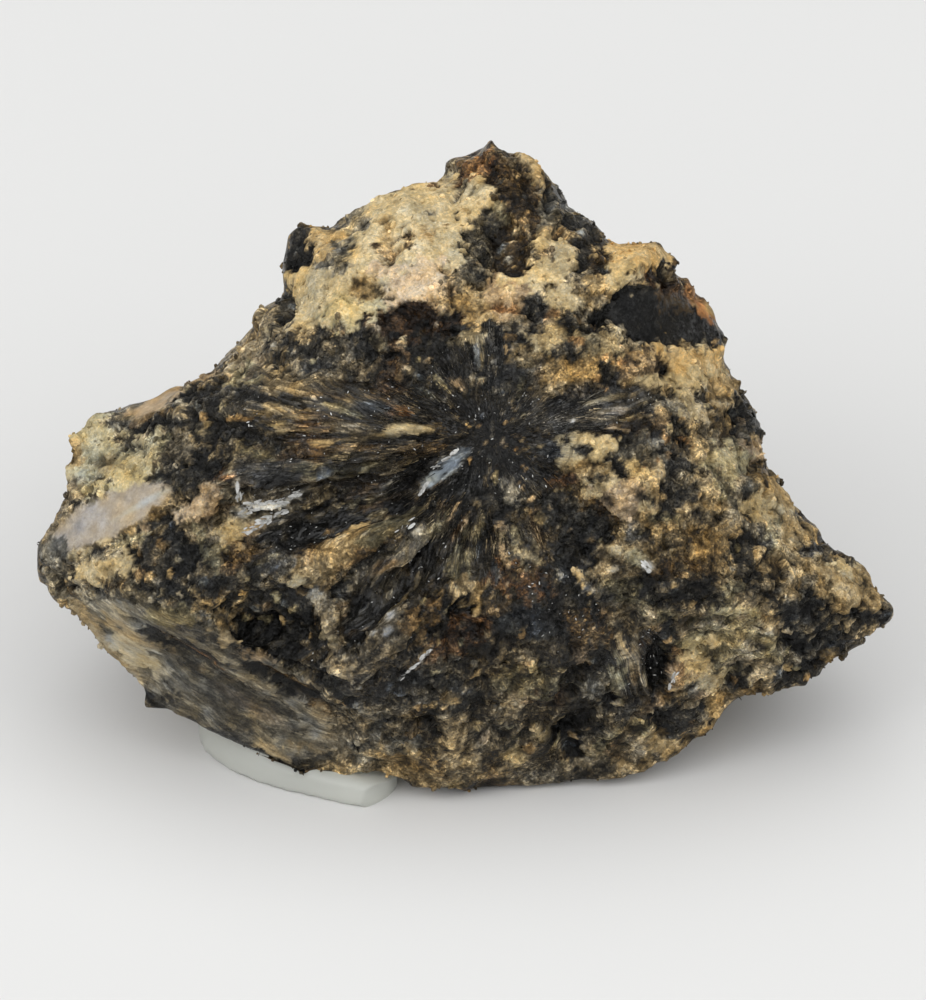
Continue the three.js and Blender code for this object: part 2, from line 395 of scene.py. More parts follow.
def largest_part(mesh):
    """The mesh without any small loose parts."""
    shape = bmesh.new()
    shape.from_mesh(mesh)
    unseen = set(shape.verts)
    parts = []
    while unseen:
        part = {unseen.pop()}
        front = list(part)
        while front:
            here = front.pop()
            fresh = {edge.other_vert(here) for edge in here.link_edges} & unseen
            unseen.difference_update(fresh)
            part.update(fresh)
            front.extend(fresh)
        parts.append(part)
    parts.sort(key=len)
    bmesh.ops.delete(shape, geom=[point for part in parts[:-1] for point in part], context="VERTS")
    shape.to_mesh(mesh)
    shape.free()
    return mesh


def refined(mesh, chosen):
    """The mesh with the edges of the chosen faces divided once."""
    shape = bmesh.new()
    shape.from_mesh(mesh)
    shape.faces.ensure_lookup_table()
    edges = {edge for index in np.flatnonzero(chosen) for edge in shape.faces[index].edges}
    bmesh.ops.subdivide_edges(shape, edges=list(edges), cuts=1, use_grid_fill=True, smooth=0.5)
    shape.to_mesh(mesh)
    shape.free()
    return mesh


def face_data(mesh):
    """Every face's middle and normal."""
    middles = np.zeros(len(mesh.polygons) * 3)
    normals = np.zeros(len(mesh.polygons) * 3)
    mesh.polygons.foreach_get("center", middles)
    mesh.polygons.foreach_get("normal", normals)
    return middles.reshape(-1, 3), normals.reshape(-1, 3)


def point_data(mesh):
    """Every point's place and normal."""
    places = np.zeros(len(mesh.vertices) * 3)
    normals = np.zeros(len(mesh.vertices) * 3)
    mesh.vertices.foreach_get("co", places)
    mesh.vertex_normals.foreach_get("vector", normals)
    return places.reshape(-1, 3), normals.reshape(-1, 3)


stone_mesh = largest_part(even_mesh("rock", BASE_CELL, smoothing=3))
middles, looks = face_data(stone_mesh)
stone_mesh = refined(stone_mesh, (looks[:, 2] > DISPLAY_TILT) & (middles[:, 2] > DISPLAY_DEPTH))
triangles = sum(len(face.vertices) - 2 for face in stone_mesh.polygons)
face_points, face_normals = point_data(stone_mesh)
facing = soft_step(face_normals[:, 2], -0.2, 0.2)
print("stone mesh:", len(face_points), "points,", triangles, "triangles")
print("points on the display side:", np.count_nonzero(facing > 0.5))

# %% [markdown]
# ## Where the needles run
#
# The needles of the star all point at its centre, and reach further in some directions than in others.
# They are fine near the centre and coarse far from it. So their pattern lives in a space of its own: two
# coordinates go round the star, and the third is the logarithm of the distance. Noise that is round in
# that space comes out on the stone as long splinters aimed at the centre. Needles branch on their way out:
# each pair of a distance and a share says how many of them there are up to that distance.
#
# A patch is an ellipse on the display face: its middle, half length and half width in millimetres, then an
# amount, and how many degrees it is turned. Here the amount says how plainly the needles show.

# %% The star of needles
Patch = namedtuple("Patch", "right up long wide amount turn mineral", defaults=(0.5, 0, None))
NEEDLES_ROUND = 13
NEEDLES_ALONG = 2.6
BRANCHES = ((1.3, 0.45), (2.8, 0.7), (8.0, 1.0), (11.5, 1.4))
LAST_BRANCH = 2.2
BRANCH_APART = 20
RAYS_ROUND = 17
RAYS_ALONG = 1.3
FIBROUS = [
    Patch(0.2, -0.2, 4.2, 2.7, 1.0), Patch(-6.5, 0.9, 6.6, 2.2, 0.85, -3),
    Patch(-7.4, -1.4, 6.0, 1.2, 0.9, 6), Patch(5.4, 1.6, 3.2, 1.1, 0.95, 8),
    Patch(-7.0, -3.8, 5.4, 1.3, 0.95, 16), Patch(-5.6, -4.9, 4.6, 1.2, 0.5, 30),
    Patch(-4.7, -7.1, 4.8, 1.4, 0.9, 41), Patch(-4.5, -9.9, 3.6, 1.2, 0.5, 45),
    Patch(-1.0, -5.6, 1.6, 3.0, 0.6, -10), Patch(2.2, -6.5, 1.8, 4.0, 0.5, 15),
    Patch(6.8, -10.8, 1.6, 2.1, 0.8, 10), Patch(4.5, -7.8, 1.4, 2.6, 0.5, 28),
    Patch(-1.2, 3.2, 2.2, 2.4, 0.6),
]


def polar(face):
    """Every place's direction from the star's centre, in radians, and its distance."""
    return np.arctan2(face[:, 1], face[:, 0]), np.hypot(face[:, 0], face[:, 1])


def turned(degrees):
    """The directions along and across a line that is turned in the plane of the face."""
    turn = math.radians(degrees)
    return np.array([math.cos(turn), math.sin(turn)]), np.array([-math.sin(turn), math.cos(turn)])


def edge_distance(face, patch):
    """How far each place is outside a patch, in millimetres, and less than zero inside."""
    along, across = turned(patch.turn)
    offset = face[:, :2] - np.array([patch.right, patch.up])
    share = np.hypot(offset @ along / patch.long, offset @ across / patch.wide)
    return (share - 1) * min(patch.long, patch.wide)


def star_strength(face, facing):
    """1 where the needles of the star show, 0 on the matrix."""
    star = np.zeros(len(face))
    ragged = 0.5 * wander(face, 1.8, 11) + 0.3 * wander(face, 0.7, 12)
    for patch in FIBROUS:
        outside = soft_step(edge_distance(face, patch) + ragged, -0.6, 0.4)
        star = np.maximum(star, patch.amount * (1 - outside))
    return star * facing * np.clip(0.9 + 0.3 * wander(face, 1.1, 15), 0, 1)


def needle_space(face):
    """Every place in the space of the needles' pattern. There are fewer needles near the centre."""
    angle, distance = polar(face)
    bend = 0.07 * wander(face, 4.0, 13) + 0.03 * wander(face, 1.3, 14) * 4 / np.maximum(distance, 4)
    heading = np.stack([np.cos(angle + bend), np.sin(angle + bend)], 1)
    branching = distance * (1 + 0.4 * wander(6 * np.column_stack([heading, 0 * angle]), 1.0, 16))
    closer = [branching < reach for reach, _ in BRANCHES]
    share = np.select(closer, [part for _, part in BRANCHES], LAST_BRANCH)
    around = NEEDLES_ROUND * share[:, None] * heading
    along = NEEDLES_ALONG * np.maximum(share, 1) * np.log(distance + 0.35)
    return np.column_stack([around, along + 0.25 * face[:, 2] + BRANCH_APART * share])


def ray_space(face):
    """Every place in the space of the long rays, which run almost unbroken out of the centre."""
    angle, distance = polar(face)
    bend = 0.05 * wander(face, 3.0, 17)
    rays = RAYS_ROUND * np.stack([np.cos(angle + bend), np.sin(angle + bend)], 1)
    return np.column_stack([rays, RAYS_ALONG * np.log(distance + 0.5)])


star = star_strength(face_points, facing)
print("points on needles:", np.count_nonzero(star > 0.5))

# %% [markdown]
# ## Lumps, grains and needles
#
# The same grains make the relief and the colour. A grain that stands up is also lighter or darker than
# its neighbours, and the gaps between grains are deep and get painted shade: the tone falls towards each
# grain's edge. Each function gives a height in millimetres and a tone around zero. The push is how far a
# point will move along its normal.

# %% Relief and tone of the matrix and the star
Layer = namedtuple("Layer", "size depth shade seed")
MATRIX_LAYERS = (Layer(1.4, 0.34, 0.8, 24), Layer(0.7, 0.20, 1.0, 25), Layer(0.36, 0.07, 0.9, 30))
STAR_LAYERS = (Layer(2.3, 0.45, 0.6, 41), Layer(1.0, 0.30, 0.9, 42), Layer(0.45, 0.16, 0.9, 47))


def add_grains(space, layers, slant, dome, height, tone):
    """A height and a tone with layers of grains added, ever finer. Grains are slanted and domed."""
    for size, depth, shade, seed in layers:
        near, number, slope, _ = grain(space, size, seed)
        height = height + depth * (slant * slope + 0.9 * (number - 0.5) + dome * (near - 0.45))
        # Painted shade: the second term darkens the tone towards each grain's edge, where the gaps are
        # deep.
        tone = tone + (shade * (number - 0.5) + 0.2 * shade * (near - 0.45))
    return height, tone


def matrix_texture(face):
    """Height and tone of the crumbly matrix."""
    height = 0.28 * wander(face, 3.0, 26) + 0.14 * wander(face, 1.2, 27)
    height -= 0.16 * soft_step(wander(face, 0.8, 20), 0.3, 0.8)
    tone = 0.7 * wander(face, 0.34, 28) + 0.5 * wander(face, 0.7, 31) + 0.35 * wander(face, 2.4, 29)
    return add_grains(bent(face, 0.30, 0.8, 21), MATRIX_LAYERS, 1, 0.25, height, tone)


def star_texture(face):
    """Height and tone of the needles."""
    space = needle_space(face)
    _, distance = polar(face)
    height = 0.12 * wander(space, 0.4, 43)
    rays = wander(ray_space(face), 1.0, 48)
    tone = 0.7 * rays + 0.4 * wander(space, 0.42, 44) + 0.4 * wander(face, 0.4, 45)
    height, tone = add_grains(space, STAR_LAYERS, 1, 0.2, height, tone)
    return height * np.clip(distance / 9, 0.12, 0.9) + 0.08 * wander(face, 0.42, 46), tone


matrix_height, matrix_tone = matrix_texture(face_points)
star_height, star_tone = star_texture(face_points)
push = matrix_height + star * (star_height - matrix_height)
tone = matrix_tone + star * (star_tone - matrix_tone)
print("matrix and star pushed by", round(push.min(), 2), "to", round(push.max(), 2), "mm")

# %% [markdown]
# ## The splintered face
#
# The face at the lower left broke along the grain of the rock. It gets long splinters that run down to
# the right: the same layers of grains, read in a space that is squeezed across them.

# %% Relief and tone of the splintered face
SPLINTERED = Patch(-13.6, -11.4, 7.0, 2.2, turn=-28)
SPLINTER_TURN = math.radians(-29)
SPLINTER_SIZE = (3.2, 0.55, 1.2)
SPLINTER_LAYERS = (Layer(1.5, 0.22, 0.7, 67), Layer(0.6, 0.12, 0.9, 68))


def splinter_space(face):
    """Every place measured in long splinters that run down to the right."""
    moved = bent(face, 0.25, 1.6, 61)
    along = moved @ np.array([math.cos(SPLINTER_TURN), math.sin(SPLINTER_TURN), 0])
    aside = moved @ np.array([-math.sin(SPLINTER_TURN), math.cos(SPLINTER_TURN), 0])
    return np.column_stack([along, aside, moved[:, 2]]) / np.array(SPLINTER_SIZE)


def splintered(face, facing):
    """1 on the splintered face at the lower left, 0 elsewhere."""
    ragged = 0.3 * wander(face, 0.9, 69)
    return facing * (1 - soft_step(edge_distance(face, SPLINTERED) + ragged, -0.3, 0.3))


def splinter_texture(face):
    """Height and tone of the splintered face at the lower left."""
    space = splinter_space(face)
    height = 0.10 * wander(face, 0.8, 64)
    tone = 0.5 * wander(space, 0.5, 65) + 0.5 * wander(face, 0.4, 66)
    return add_grains(space, SPLINTER_LAYERS, 0.6, 0, height, tone)


split = splintered(face_points, facing)
splinter_height, splinter_tone = splinter_texture(face_points)
push += split * (splinter_height - push)
tone += split * (0.75 * splinter_tone - tone)
print("points on splinters:", np.count_nonzero(split > 0.5))

# %% [markdown]
# ## Where the minerals lie
# A few patches are painted light rather than a mineral: some black ones in grooves and hollows are painted
# shade, and some small white and lilac ones are painted glints.
#
# The display face is painted patch over patch, and later patches cover earlier ones. Each patch
# is of one mineral, and its amount says how light it is, from 0 to 1. The grains make its edge ragged.
# The rest of the stone, which has no map, follows slow noise.
#
# A hue is what red, green and blue are multiplied by at the same lightness.

# %% Minerals and their patches
HUES = {
    "tan": (1.10, 0.99, 0.79),
    "cream": (1.12, 1.00, 0.75),
    "ochre": (1.18, 0.99, 0.67),
    "olive": (1.09, 1.01, 0.77),
    "pink": (1.15, 0.99, 0.78),
    "grey": (1.05, 1.00, 0.88),
    "lilac": (1.07, 0.99, 0.88),
    "blue": (0.95, 1.01, 1.06),
    "white": (1.01, 1.00, 0.96),
    "brown": (1.22, 0.98, 0.64),
    "rust": (1.32, 0.93, 0.57),
    "black": (1.03, 1.00, 0.93),
}


def hue_of(mineral):
    """A mineral's hue as an array."""
    return np.array(HUES[mineral])


tan, cream, ochre, olive, pink, grey, lilac, blue, white, brown, rust, black = (
    partial(Patch, mineral=mineral) for mineral in HUES
)
CRISP = ("lilac", "blue", "white")
print("minerals:", ", ".join(HUES))

# %% The pale block at the peak, and the smooth dark lens right of it
PEAK = [
    cream(-4.2, 9.6, 3.7, 2.8, 0.70, 20), cream(-1.7, 10.9, 1.9, 2.1, 0.69, -20),
    ochre(-8.0, 9.4, 1.1, 1.1, 0.60), cream(-8.4, 7.4, 1.7, 1.3, 0.64),
    cream(-8.3, 6.1, 2.2, 0.7, 0.70, 18), olive(-6.2, 5.9, 1.5, 1.0, 0.66, 10),
    cream(1.9, 7.7, 2.0, 1.0, 0.70, 10), cream(3.3, 8.7, 0.8, 1.0, 0.62), cream(2.3, 9.5, 0.5, 0.6, 0.62),
    pink(0.4, 6.4, 1.6, 1.2, 0.57), ochre(-0.9, 6.2, 1.3, 1.0, 0.54), cream(2.4, 4.7, 1.4, 0.8, 0.54),
    tan(0.8, 5.3, 0.9, 0.6, 0.50), ochre(3.7, 3.2, 1.7, 1.0, 0.43, 15), black(3.5, 4.2, 0.7, 0.35, 0.18),
    cream(5.4, 4.7, 1.0, 1.1, 0.52), ochre(4.9, 7.3, 1.0, 0.8, 0.50),
    cream(-1.1, 12.5, 0.9, 0.5, 0.60, 30), ochre(1.9, 13.4, 1.3, 0.5, 0.62, -45),
    ochre(2.7, 12.5, 0.4, 0.7, 0.58, 10), grey(2.8, 11.0, 1.0, 0.7, 0.42, -60),
    ochre(6.9, 8.9, 1.9, 0.8, 0.70), cream(6.2, 7.9, 1.1, 0.7, 0.66, 30),
    pink(-3.8, 7.7, 1.9, 1.2, 0.71, 15), cream(-4.3, 8.7, 0.8, 0.5, 0.70),
    black(-9.25, 9.7, 0.45, 0.7, 0.10), black(-9.3, 8.7, 0.8, 0.5, 0.11),
    black(-9.9, 6.3, 0.45, 1.0, 0.14), grey(-7.0, 10.2, 0.5, 0.3, 0.42),
    grey(-6.3, 10.8, 0.5, 1.0, 0.52, -15), grey(-7.2, 8.6, 0.5, 0.9, 0.52),
    grey(-7.9, 8.3, 0.9, 0.25, 0.42), ochre(-5.0, 9.7, 0.4, 0.9, 0.56), brown(-5.0, 9.0, 0.6, 0.4, 0.38),
    brown(-3.9, 9.6, 0.7, 0.5, 0.36), ochre(-3.2, 9.7, 0.4, 0.5, 0.58),
    grey(-2.95, 10.85, 0.4, 0.22, 0.34), ochre(-5.7, 7.2, 0.9, 0.5, 0.54),
    black(-1.6, 12.0, 0.12, 0.5, 0.2, -30), brown(-2.4, 8.2, 0.6, 0.12, 0.36, -50),
    brown(-2.0, 7.4, 0.12, 0.7, 0.38), grey(-0.3, 9.8, 1.2, 1.1, 0.29),
    grey(-0.7, 8.2, 0.6, 1.1, 0.26, -10), brown(1.0, 9.2, 1.0, 1.1, 0.12),
    brown(1.3, 11.7, 1.0, 1.7, 0.17), brown(0.6, 13.2, 1.1, 0.9, 0.25),
    rust(-0.7, 13.4, 1.0, 0.4, 0.30, 38), brown(0.0, 14.4, 0.5, 0.5, 0.36),
    brown(1.5, 10.7, 0.6, 0.9, 0.20, 10), olive(0.35, 11.1, 0.4, 0.25, 0.55),
    olive(0.6, 10.7, 0.3, 0.2, 0.48), grey(3.5, 12.0, 0.4, 1.3, 0.30, 15),
    black(4.2, 10.5, 0.8, 0.7, 0.16), black(4.5, 9.3, 0.5, 1.3, 0.14, -8),
    brown(5.1, 8.6, 0.5, 0.8, 0.12), black(2.0, 6.4, 0.5, 0.4, 0.28), black(0.0, 5.2, 0.5, 0.4, 0.11),
    rust(0.5, 6.3, 0.7, 0.2, 0.36), black(2.2, 5.7, 0.4, 0.6, 0.18), cream(3.5, 6.8, 1.0, 0.6, 0.62),
    black(3.9, 5.7, 0.7, 0.4, 0.24, -20),
]
LENS = [
    cream(9.2, 3.5, 2.7, 1.1, 0.65, -3), black(7.4, 6.3, 2.0, 1.3, 0.06, 24),
    black(9.2, 5.7, 2.1, 1.2, 0.06, -8), black(7.6, 5.3, 1.7, 0.7, 0.08), black(5.2, 6.1, 0.9, 0.5, 0.07),
    brown(8.7, 7.2, 1.1, 0.9, 0.19, -40), black(8.6, 4.95, 2.4, 0.3, 0.07),
    rust(10.0, 6.7, 1.4, 0.35, 0.44, -50), ochre(10.5, 6.3, 0.5, 0.2, 0.55, -40),
    rust(8.2, 7.5, 1.0, 0.3, 0.22, -25), ochre(9.1, 3.8, 2.4, 0.6, 0.65), pink(7.2, 3.4, 1.2, 0.6, 0.42),
    cream(8.2, 2.8, 1.7, 0.3, 0.66), black(5.6, 3.4, 0.6, 0.5, 0.14, 30), grey(8.4, 1.7, 0.6, 0.4, 0.50),
    cream(9.5, 1.6, 0.6, 0.7, 0.58, -30), tan(10.9, 1.3, 1.1, 0.9, 0.57),
    black(10.3, 1.9, 0.4, 0.6, 0.18), ochre(11.1, 2.6, 0.9, 0.5, 0.52), ochre(11.3, 1.0, 0.6, 0.6, 0.42),
    black(12.4, 1.1, 0.65, 1.2, 0.15, 12), pink(12.7, -0.5, 0.6, 0.7, 0.52),
    black(7.5, 1.8, 0.8, 0.6, 0.16),
]
print("patches:", len(PEAK), "on the pale block and", len(LENS), "on the lens")

# %% The star, above and left of its centre
STAR_UPPER = [
    rust(-3.9, 5.3, 2.1, 1.2, 0.14), black(-7.5, 4.2, 2.8, 1.1, 0.20, 5),
    black(-2.0, 3.6, 2.4, 1.6, 0.13), black(0.9, 3.9, 1.1, 1.2, 0.18),
    cream(-5.4, 4.7, 0.6, 0.35, 0.50, -35), cream(-1.1, 4.8, 0.9, 0.3, 0.50, 8),
    white(-2.6, 5.6, 0.3, 0.12, 0.50, 60), tan(-5.9, 3.4, 0.6, 0.3, 0.40, 30),
    tan(-7.5, 2.9, 0.5, 0.3, 0.40, 30), tan(-3.9, 3.2, 0.5, 0.15, 0.48, -50),
    blue(-3.4, 3.0, 0.3, 0.15, 0.42, -20), pink(-1.6, 2.6, 0.35, 0.22, 0.50),
    cream(-0.55, 2.9, 0.25, 0.15, 0.58), olive(1.35, 2.55, 0.14, 0.5, 0.50, -5),
    ochre(1.05, 1.55, 0.2, 0.4, 0.45, 10), white(0.05, 3.7, 0.12, 0.12, 0.65),
    tan(-9.3, 3.3, 0.4, 0.6, 0.38, 20), ochre(-9.1, 2.5, 0.35, 0.3, 0.50),
    tan(-10.4, 2.3, 0.5, 0.25, 0.42, 10), brown(-8.0, 2.0, 2.4, 0.2, 0.26),
    ochre(-6.7, 1.8, 0.7, 0.18, 0.52, -8), tan(-10.4, 1.5, 0.5, 0.3, 0.44),
    tan(-9.3, 1.08, 1.1, 0.12, 0.46, -4), rust(-4.6, 1.4, 0.5, 0.25, 0.32),
    blue(-5.7, 1.6, 0.9, 0.25, 0.22, -12), black(-3.0, 1.5, 1.3, 0.4, 0.10, -25),
    white(-2.3, 1.9, 0.4, 0.08, 0.45, -35), black(-12.8, 1.3, 2.3, 1.6, 0.15),
    grey(-12.85, 1.9, 0.15, 0.7, 0.38, 5), grey(-14.0, 0.5, 0.2, 0.3, 0.45),
    white(-10.4, 4.4, 0.16, 0.14, 0.60), ochre(1.5, 4.0, 0.8, 0.55, 0.46, 20),
    olive(-12.0, 3.1, 0.9, 0.4, 0.50, 30), black(-8.9, 1.8, 1.5, 0.35, 0.13, -5),
]
STAR_LEFT = [
    cream(-10.2, 0.55, 0.5, 0.26, 0.58), tan(-9.0, 0.5, 1.0, 0.16, 0.42),
    tan(-7.2, 0.5, 1.0, 0.22, 0.42, -6), tan(-6.0, 0.12, 1.5, 0.18, 0.40, 8),
    cream(-4.9, 0.3, 0.9, 0.2, 0.58, 15), cream(-3.9, 0.52, 1.2, 0.2, 0.62, -3),
    ochre(-8.1, -0.25, 0.8, 0.22, 0.58, 8), brown(-6.4, -0.4, 1.5, 0.15, 0.30, 3),
    olive(-11.3, -0.6, 1.1, 0.3, 0.42, -18), cream(-12.25, -0.75, 0.13, 0.6, 0.50, -8),
    olive(-8.5, -1.4, 0.8, 0.4, 0.36), blue(-8.0, -1.7, 0.35, 0.35, 0.46),
    cream(-7.3, -1.8, 0.6, 0.2, 0.50, 10), olive(-6.2, -1.5, 1.2, 0.2, 0.34, 5),
    tan(-8.4, -2.3, 0.45, 0.22, 0.42), rust(-12.9, -1.5, 0.5, 0.5, 0.20),
    black(-10.2, -1.6, 1.4, 0.6, 0.13), brown(-3.6, -0.5, 1.3, 0.3, 0.26, 5),
    blue(-2.3, -1.4, 1.35, 0.5, 0.54, 38), blue(-2.9, -1.9, 0.5, 0.4, 0.62, 50),
    blue(-1.4, -0.6, 0.5, 0.25, 0.46, 10), white(-3.35, -2.35, 0.4, 0.1, 0.6, 50),
    tan(-1.3, -1.5, 0.5, 0.22, 0.36, 45), black(-4.4, -2.0, 1.9, 0.45, 0.10, 28),
    # The black band at (-7.3, -3.9) is painted shadow in the groove under the raised fan.
    olive(-6.0, -2.9, 1.6, 0.2, 0.30, 13), black(-7.3, -3.9, 3.5, 0.75, 0.04, 14),
    black(-3.0, -2.9, 1.1, 0.45, 0.08, 35), cream(-8.3, -2.95, 0.8, 0.08, 0.50, 20),
    white(-5.0, -2.1, 0.5, 0.08, 0.50, 35), tan(-5.3, -2.6, 0.5, 0.15, 0.38, 25),
    black(-13.6, -1.2, 0.9, 0.8, 0.15), black(-15.0, -1.9, 0.9, 0.7, 0.15),
]
FLAKES = [
    grey(-11.3, -3.6, 1.5, 0.6, 0.46, 12), white(-10.8, -3.05, 1.0, 0.24, 0.88, 4),
    white(-9.6, -2.75, 0.7, 0.14, 0.66, 20), white(-11.7, -3.4, 0.5, 0.25, 0.66, 20),
    grey(-10.6, -3.7, 0.9, 0.25, 0.56, 20), pink(-11.5, -4.3, 1.1, 0.25, 0.62, 25),
    cream(-12.6, -4.3, 0.7, 0.5, 0.58), white(-12.2, -2.5, 0.12, 0.55, 0.80, 5),
    grey(-12.6, -2.7, 0.4, 0.4, 0.42), black(-11.0, -3.35, 1.0, 0.07, 0.10, -10),
]
print("patches:", len(STAR_UPPER), "above the centre,", len(STAR_LEFT + FLAKES), "left of it")

# %% The star's long wedges at the lower left, and its lower and right parts
WEDGES = [
    brown(-7.6, -5.6, 2.9, 1.0, 0.40, 26), ochre(-8.9, -6.4, 1.3, 0.7, 0.50, 15),
    ochre(-7.0, -5.1, 1.8, 0.65, 0.46, 27), cream(-9.3, -6.6, 0.6, 0.35, 0.62, 15),
    olive(-5.1, -4.3, 1.5, 0.42, 0.40, 28), olive(-4.1, -3.6, 0.9, 0.3, 0.38, 32),
    # The black lines at (-6.3, -6.3) and (-4.7, -7.2) are partly dark needles and partly painted shade in
    # the grooves between the wedges.
    black(-6.3, -6.3, 2.4, 0.32, 0.13, 38), tan(-6.8, -6.8, 0.6, 0.3, 0.38, 40),
    grey(-4.7, -5.6, 2.4, 0.42, 0.29, 36), pink(-5.3, -6.2, 0.8, 0.25, 0.40, 32),
    olive(-2.7, -4.2, 1.0, 0.3, 0.38, 35), black(-3.9, -4.3, 1.0, 0.15, 0.10, 38),
    white(-3.6, -4.35, 0.3, 0.1, 0.62, 38), black(-4.7, -7.2, 3.6, 0.75, 0.12, 41),
    rust(-1.7, -4.4, 0.8, 0.15, 0.15, 60), grey(-8.4, -7.7, 0.4, 0.6, 0.54),
    tan(-7.9, -8.8, 0.55, 1.5, 0.48), cream(-8.1, -9.6, 0.4, 0.5, 0.50), tan(-7.7, -10.9, 0.9, 0.4, 0.46),
    olive(-9.7, -8.5, 0.7, 0.4, 0.44), brown(-8.9, -8.7, 0.6, 0.3, 0.32),
    tan(-4.9, -9.5, 2.6, 0.85, 0.41, 44), brown(-3.4, -8.5, 1.2, 0.7, 0.36, 38),
    tan(-6.6, -11.2, 1.0, 0.5, 0.44), black(-6.4, -9.4, 1.3, 0.25, 0.10, 45),
    black(-4.0, -10.9, 1.9, 0.4, 0.16, 46), brown(-3.4, -10.3, 1.3, 0.3, 0.30, 46),
    # The white spots at (-4.75, -8.5), (-4.95, -9.2) and (-5.6, -9.3) are painted glints on the wedge.
    white(-3.6, -10.65, 1.3, 0.07, 0.58, 44), white(-4.75, -8.5, 0.28, 0.12, 0.66, 50),
    white(-4.95, -9.2, 0.25, 0.12, 0.72, 40), white(-5.6, -9.3, 0.2, 0.1, 0.66, 30),
    # The three black patches around (-10.3, -9.5) are painted shade in the cavity under the wedge, which is
    # also carved as a hollow.
    black(-10.3, -9.5, 1.8, 1.1, 0.06, -10), black(-10.9, -7.6, 1.9, 0.8, 0.13),
    black(-9.1, -10.7, 0.9, 0.5, 0.09, -20), grey(-11.7, -6.4, 1.6, 0.4, 0.18, 20),
    # The thin white streak at (-10.3, -6.1) is a painted glint.
    black(-12.8, -7.0, 2.2, 0.5, 0.15, -8), white(-10.3, -6.1, 0.8, 0.07, 0.50, 33),
    brown(-11.7, -5.5, 1.1, 0.25, 0.26, 12),
]
STAR_LOWER = [
    black(0.3, -2.2, 2.4, 1.5, 0.08), grey(0.95, -2.6, 0.5, 0.75, 0.50, 25),
    black(3.6, -3.5, 2.2, 1.0, 0.17, -30), cream(1.4, -5.2, 1.0, 0.5, 0.50, -10),
    olive(1.1, -4.7, 0.2, 0.5, 0.46, -20), cream(2.3, -3.8, 0.4, 0.25, 0.46),
    pink(0.5, -4.2, 0.35, 0.2, 0.40), olive(-0.7, -4.2, 0.25, 0.8, 0.42, -12),
    olive(-1.4, -5.5, 0.6, 1.2, 0.34, -15), ochre(-0.9, -7.1, 1.2, 0.55, 0.48),
    rust(1.3, -6.8, 1.6, 0.9, 0.23, -10), brown(1.5, -6.4, 1.0, 0.3, 0.32),
    black(-1.6, -8.2, 0.9, 0.55, 0.06), blue(3.6, -6.3, 0.8, 0.6, 0.12), black(3.6, -5.4, 1.3, 0.8, 0.07),
    white(3.3, -6.4, 0.25, 0.15, 0.55, -40), rust(-0.9, -8.9, 1.2, 0.4, 0.27),
    rust(-1.9, -9.8, 1.4, 0.6, 0.19, 20), pink(0.1, -8.2, 0.4, 0.25, 0.34, 30),
    blue(2.0, -8.8, 2.0, 0.8, 0.12), brown(4.7, -9.2, 0.9, 0.9, 0.27),
    pink(4.3, -10.4, 0.4, 0.6, 0.40, -25), olive(6.2, -7.3, 1.5, 0.6, 0.33, -18),
    grey(5.4, -7.5, 0.3, 0.5, 0.38), black(3.8, -7.9, 1.4, 0.9, 0.09),
    white(4.5, -7.1, 0.12, 0.4, 0.40, -40), cream(6.0, -5.3, 0.6, 0.25, 0.62, -20),
    olive(6.8, -5.6, 0.7, 0.3, 0.56, -35), white(7.45, -6.15, 0.35, 0.25, 0.74, -40),
    white(5.8, -6.2, 0.2, 0.13, 0.62), brown(8.9, -6.1, 1.2, 0.5, 0.28),
    ochre(9.7, -5.4, 0.25, 0.3, 0.52), ochre(9.2, -6.2, 0.3, 0.3, 0.42),
    olive(8.2, -8.4, 0.6, 0.25, 0.42, 10), tan(6.7, -9.8, 0.35, 0.7, 0.42, -10),
    olive(6.1, -11.4, 0.4, 1.0, 0.50, -12), cream(7.4, -11.2, 0.14, 0.7, 0.50),
    brown(6.8, -11.3, 0.15, 0.8, 0.36), black(8.0, -11.0, 0.5, 1.2, 0.06),
    # The small lilac spot at (8.6, -11.3) is a painted glint.
    blue(8.4, -9.4, 0.4, 0.7, 0.14), lilac(8.6, -11.3, 0.13, 0.45, 0.56, -10),
    lilac(8.8, -11.9, 0.28, 0.15, 0.56, 20), black(5.4, -10.4, 0.6, 0.7, 0.12),
    grey(4.8, -11.9, 0.8, 0.4, 0.34, -30),
]
STAR_RIGHT = [
    black(4.2, 1.4, 3.0, 1.1, 0.18, 8), lilac(4.2, 2.4, 1.0, 0.3, 0.24, 15),
    tan(2.9, 2.35, 0.9, 0.25, 0.46, 20), cream(5.5, 1.95, 1.0, 0.13, 0.50, 10),
    cream(4.7, 1.7, 0.4, 0.13, 0.46, 15), tan(5.0, 1.25, 1.2, 0.1, 0.36, 10),
    # The small lilac spot at (6.1, 1.4) is a painted glint.
    lilac(6.1, 1.4, 0.4, 0.2, 0.44, 10), tan(4.9, 0.92, 1.3, 0.08, 0.38, 6),
    pink(6.0, 0.65, 0.35, 0.12, 0.50), tan(7.2, 1.0, 0.35, 0.15, 0.44),
    # The white spot at (3.85, 0.85) is a painted glint, over three small mica plates.
    white(3.85, 0.85, 0.14, 0.1, 0.90, 30), brown(7.0, 0.6, 0.9, 0.2, 0.18),
    blue(2.8, -0.5, 1.1, 0.5, 0.16, -10),
]
print("patches:", len(WEDGES), "on the wedges,", len(STAR_LOWER), "below,", len(STAR_RIGHT), "at the right")

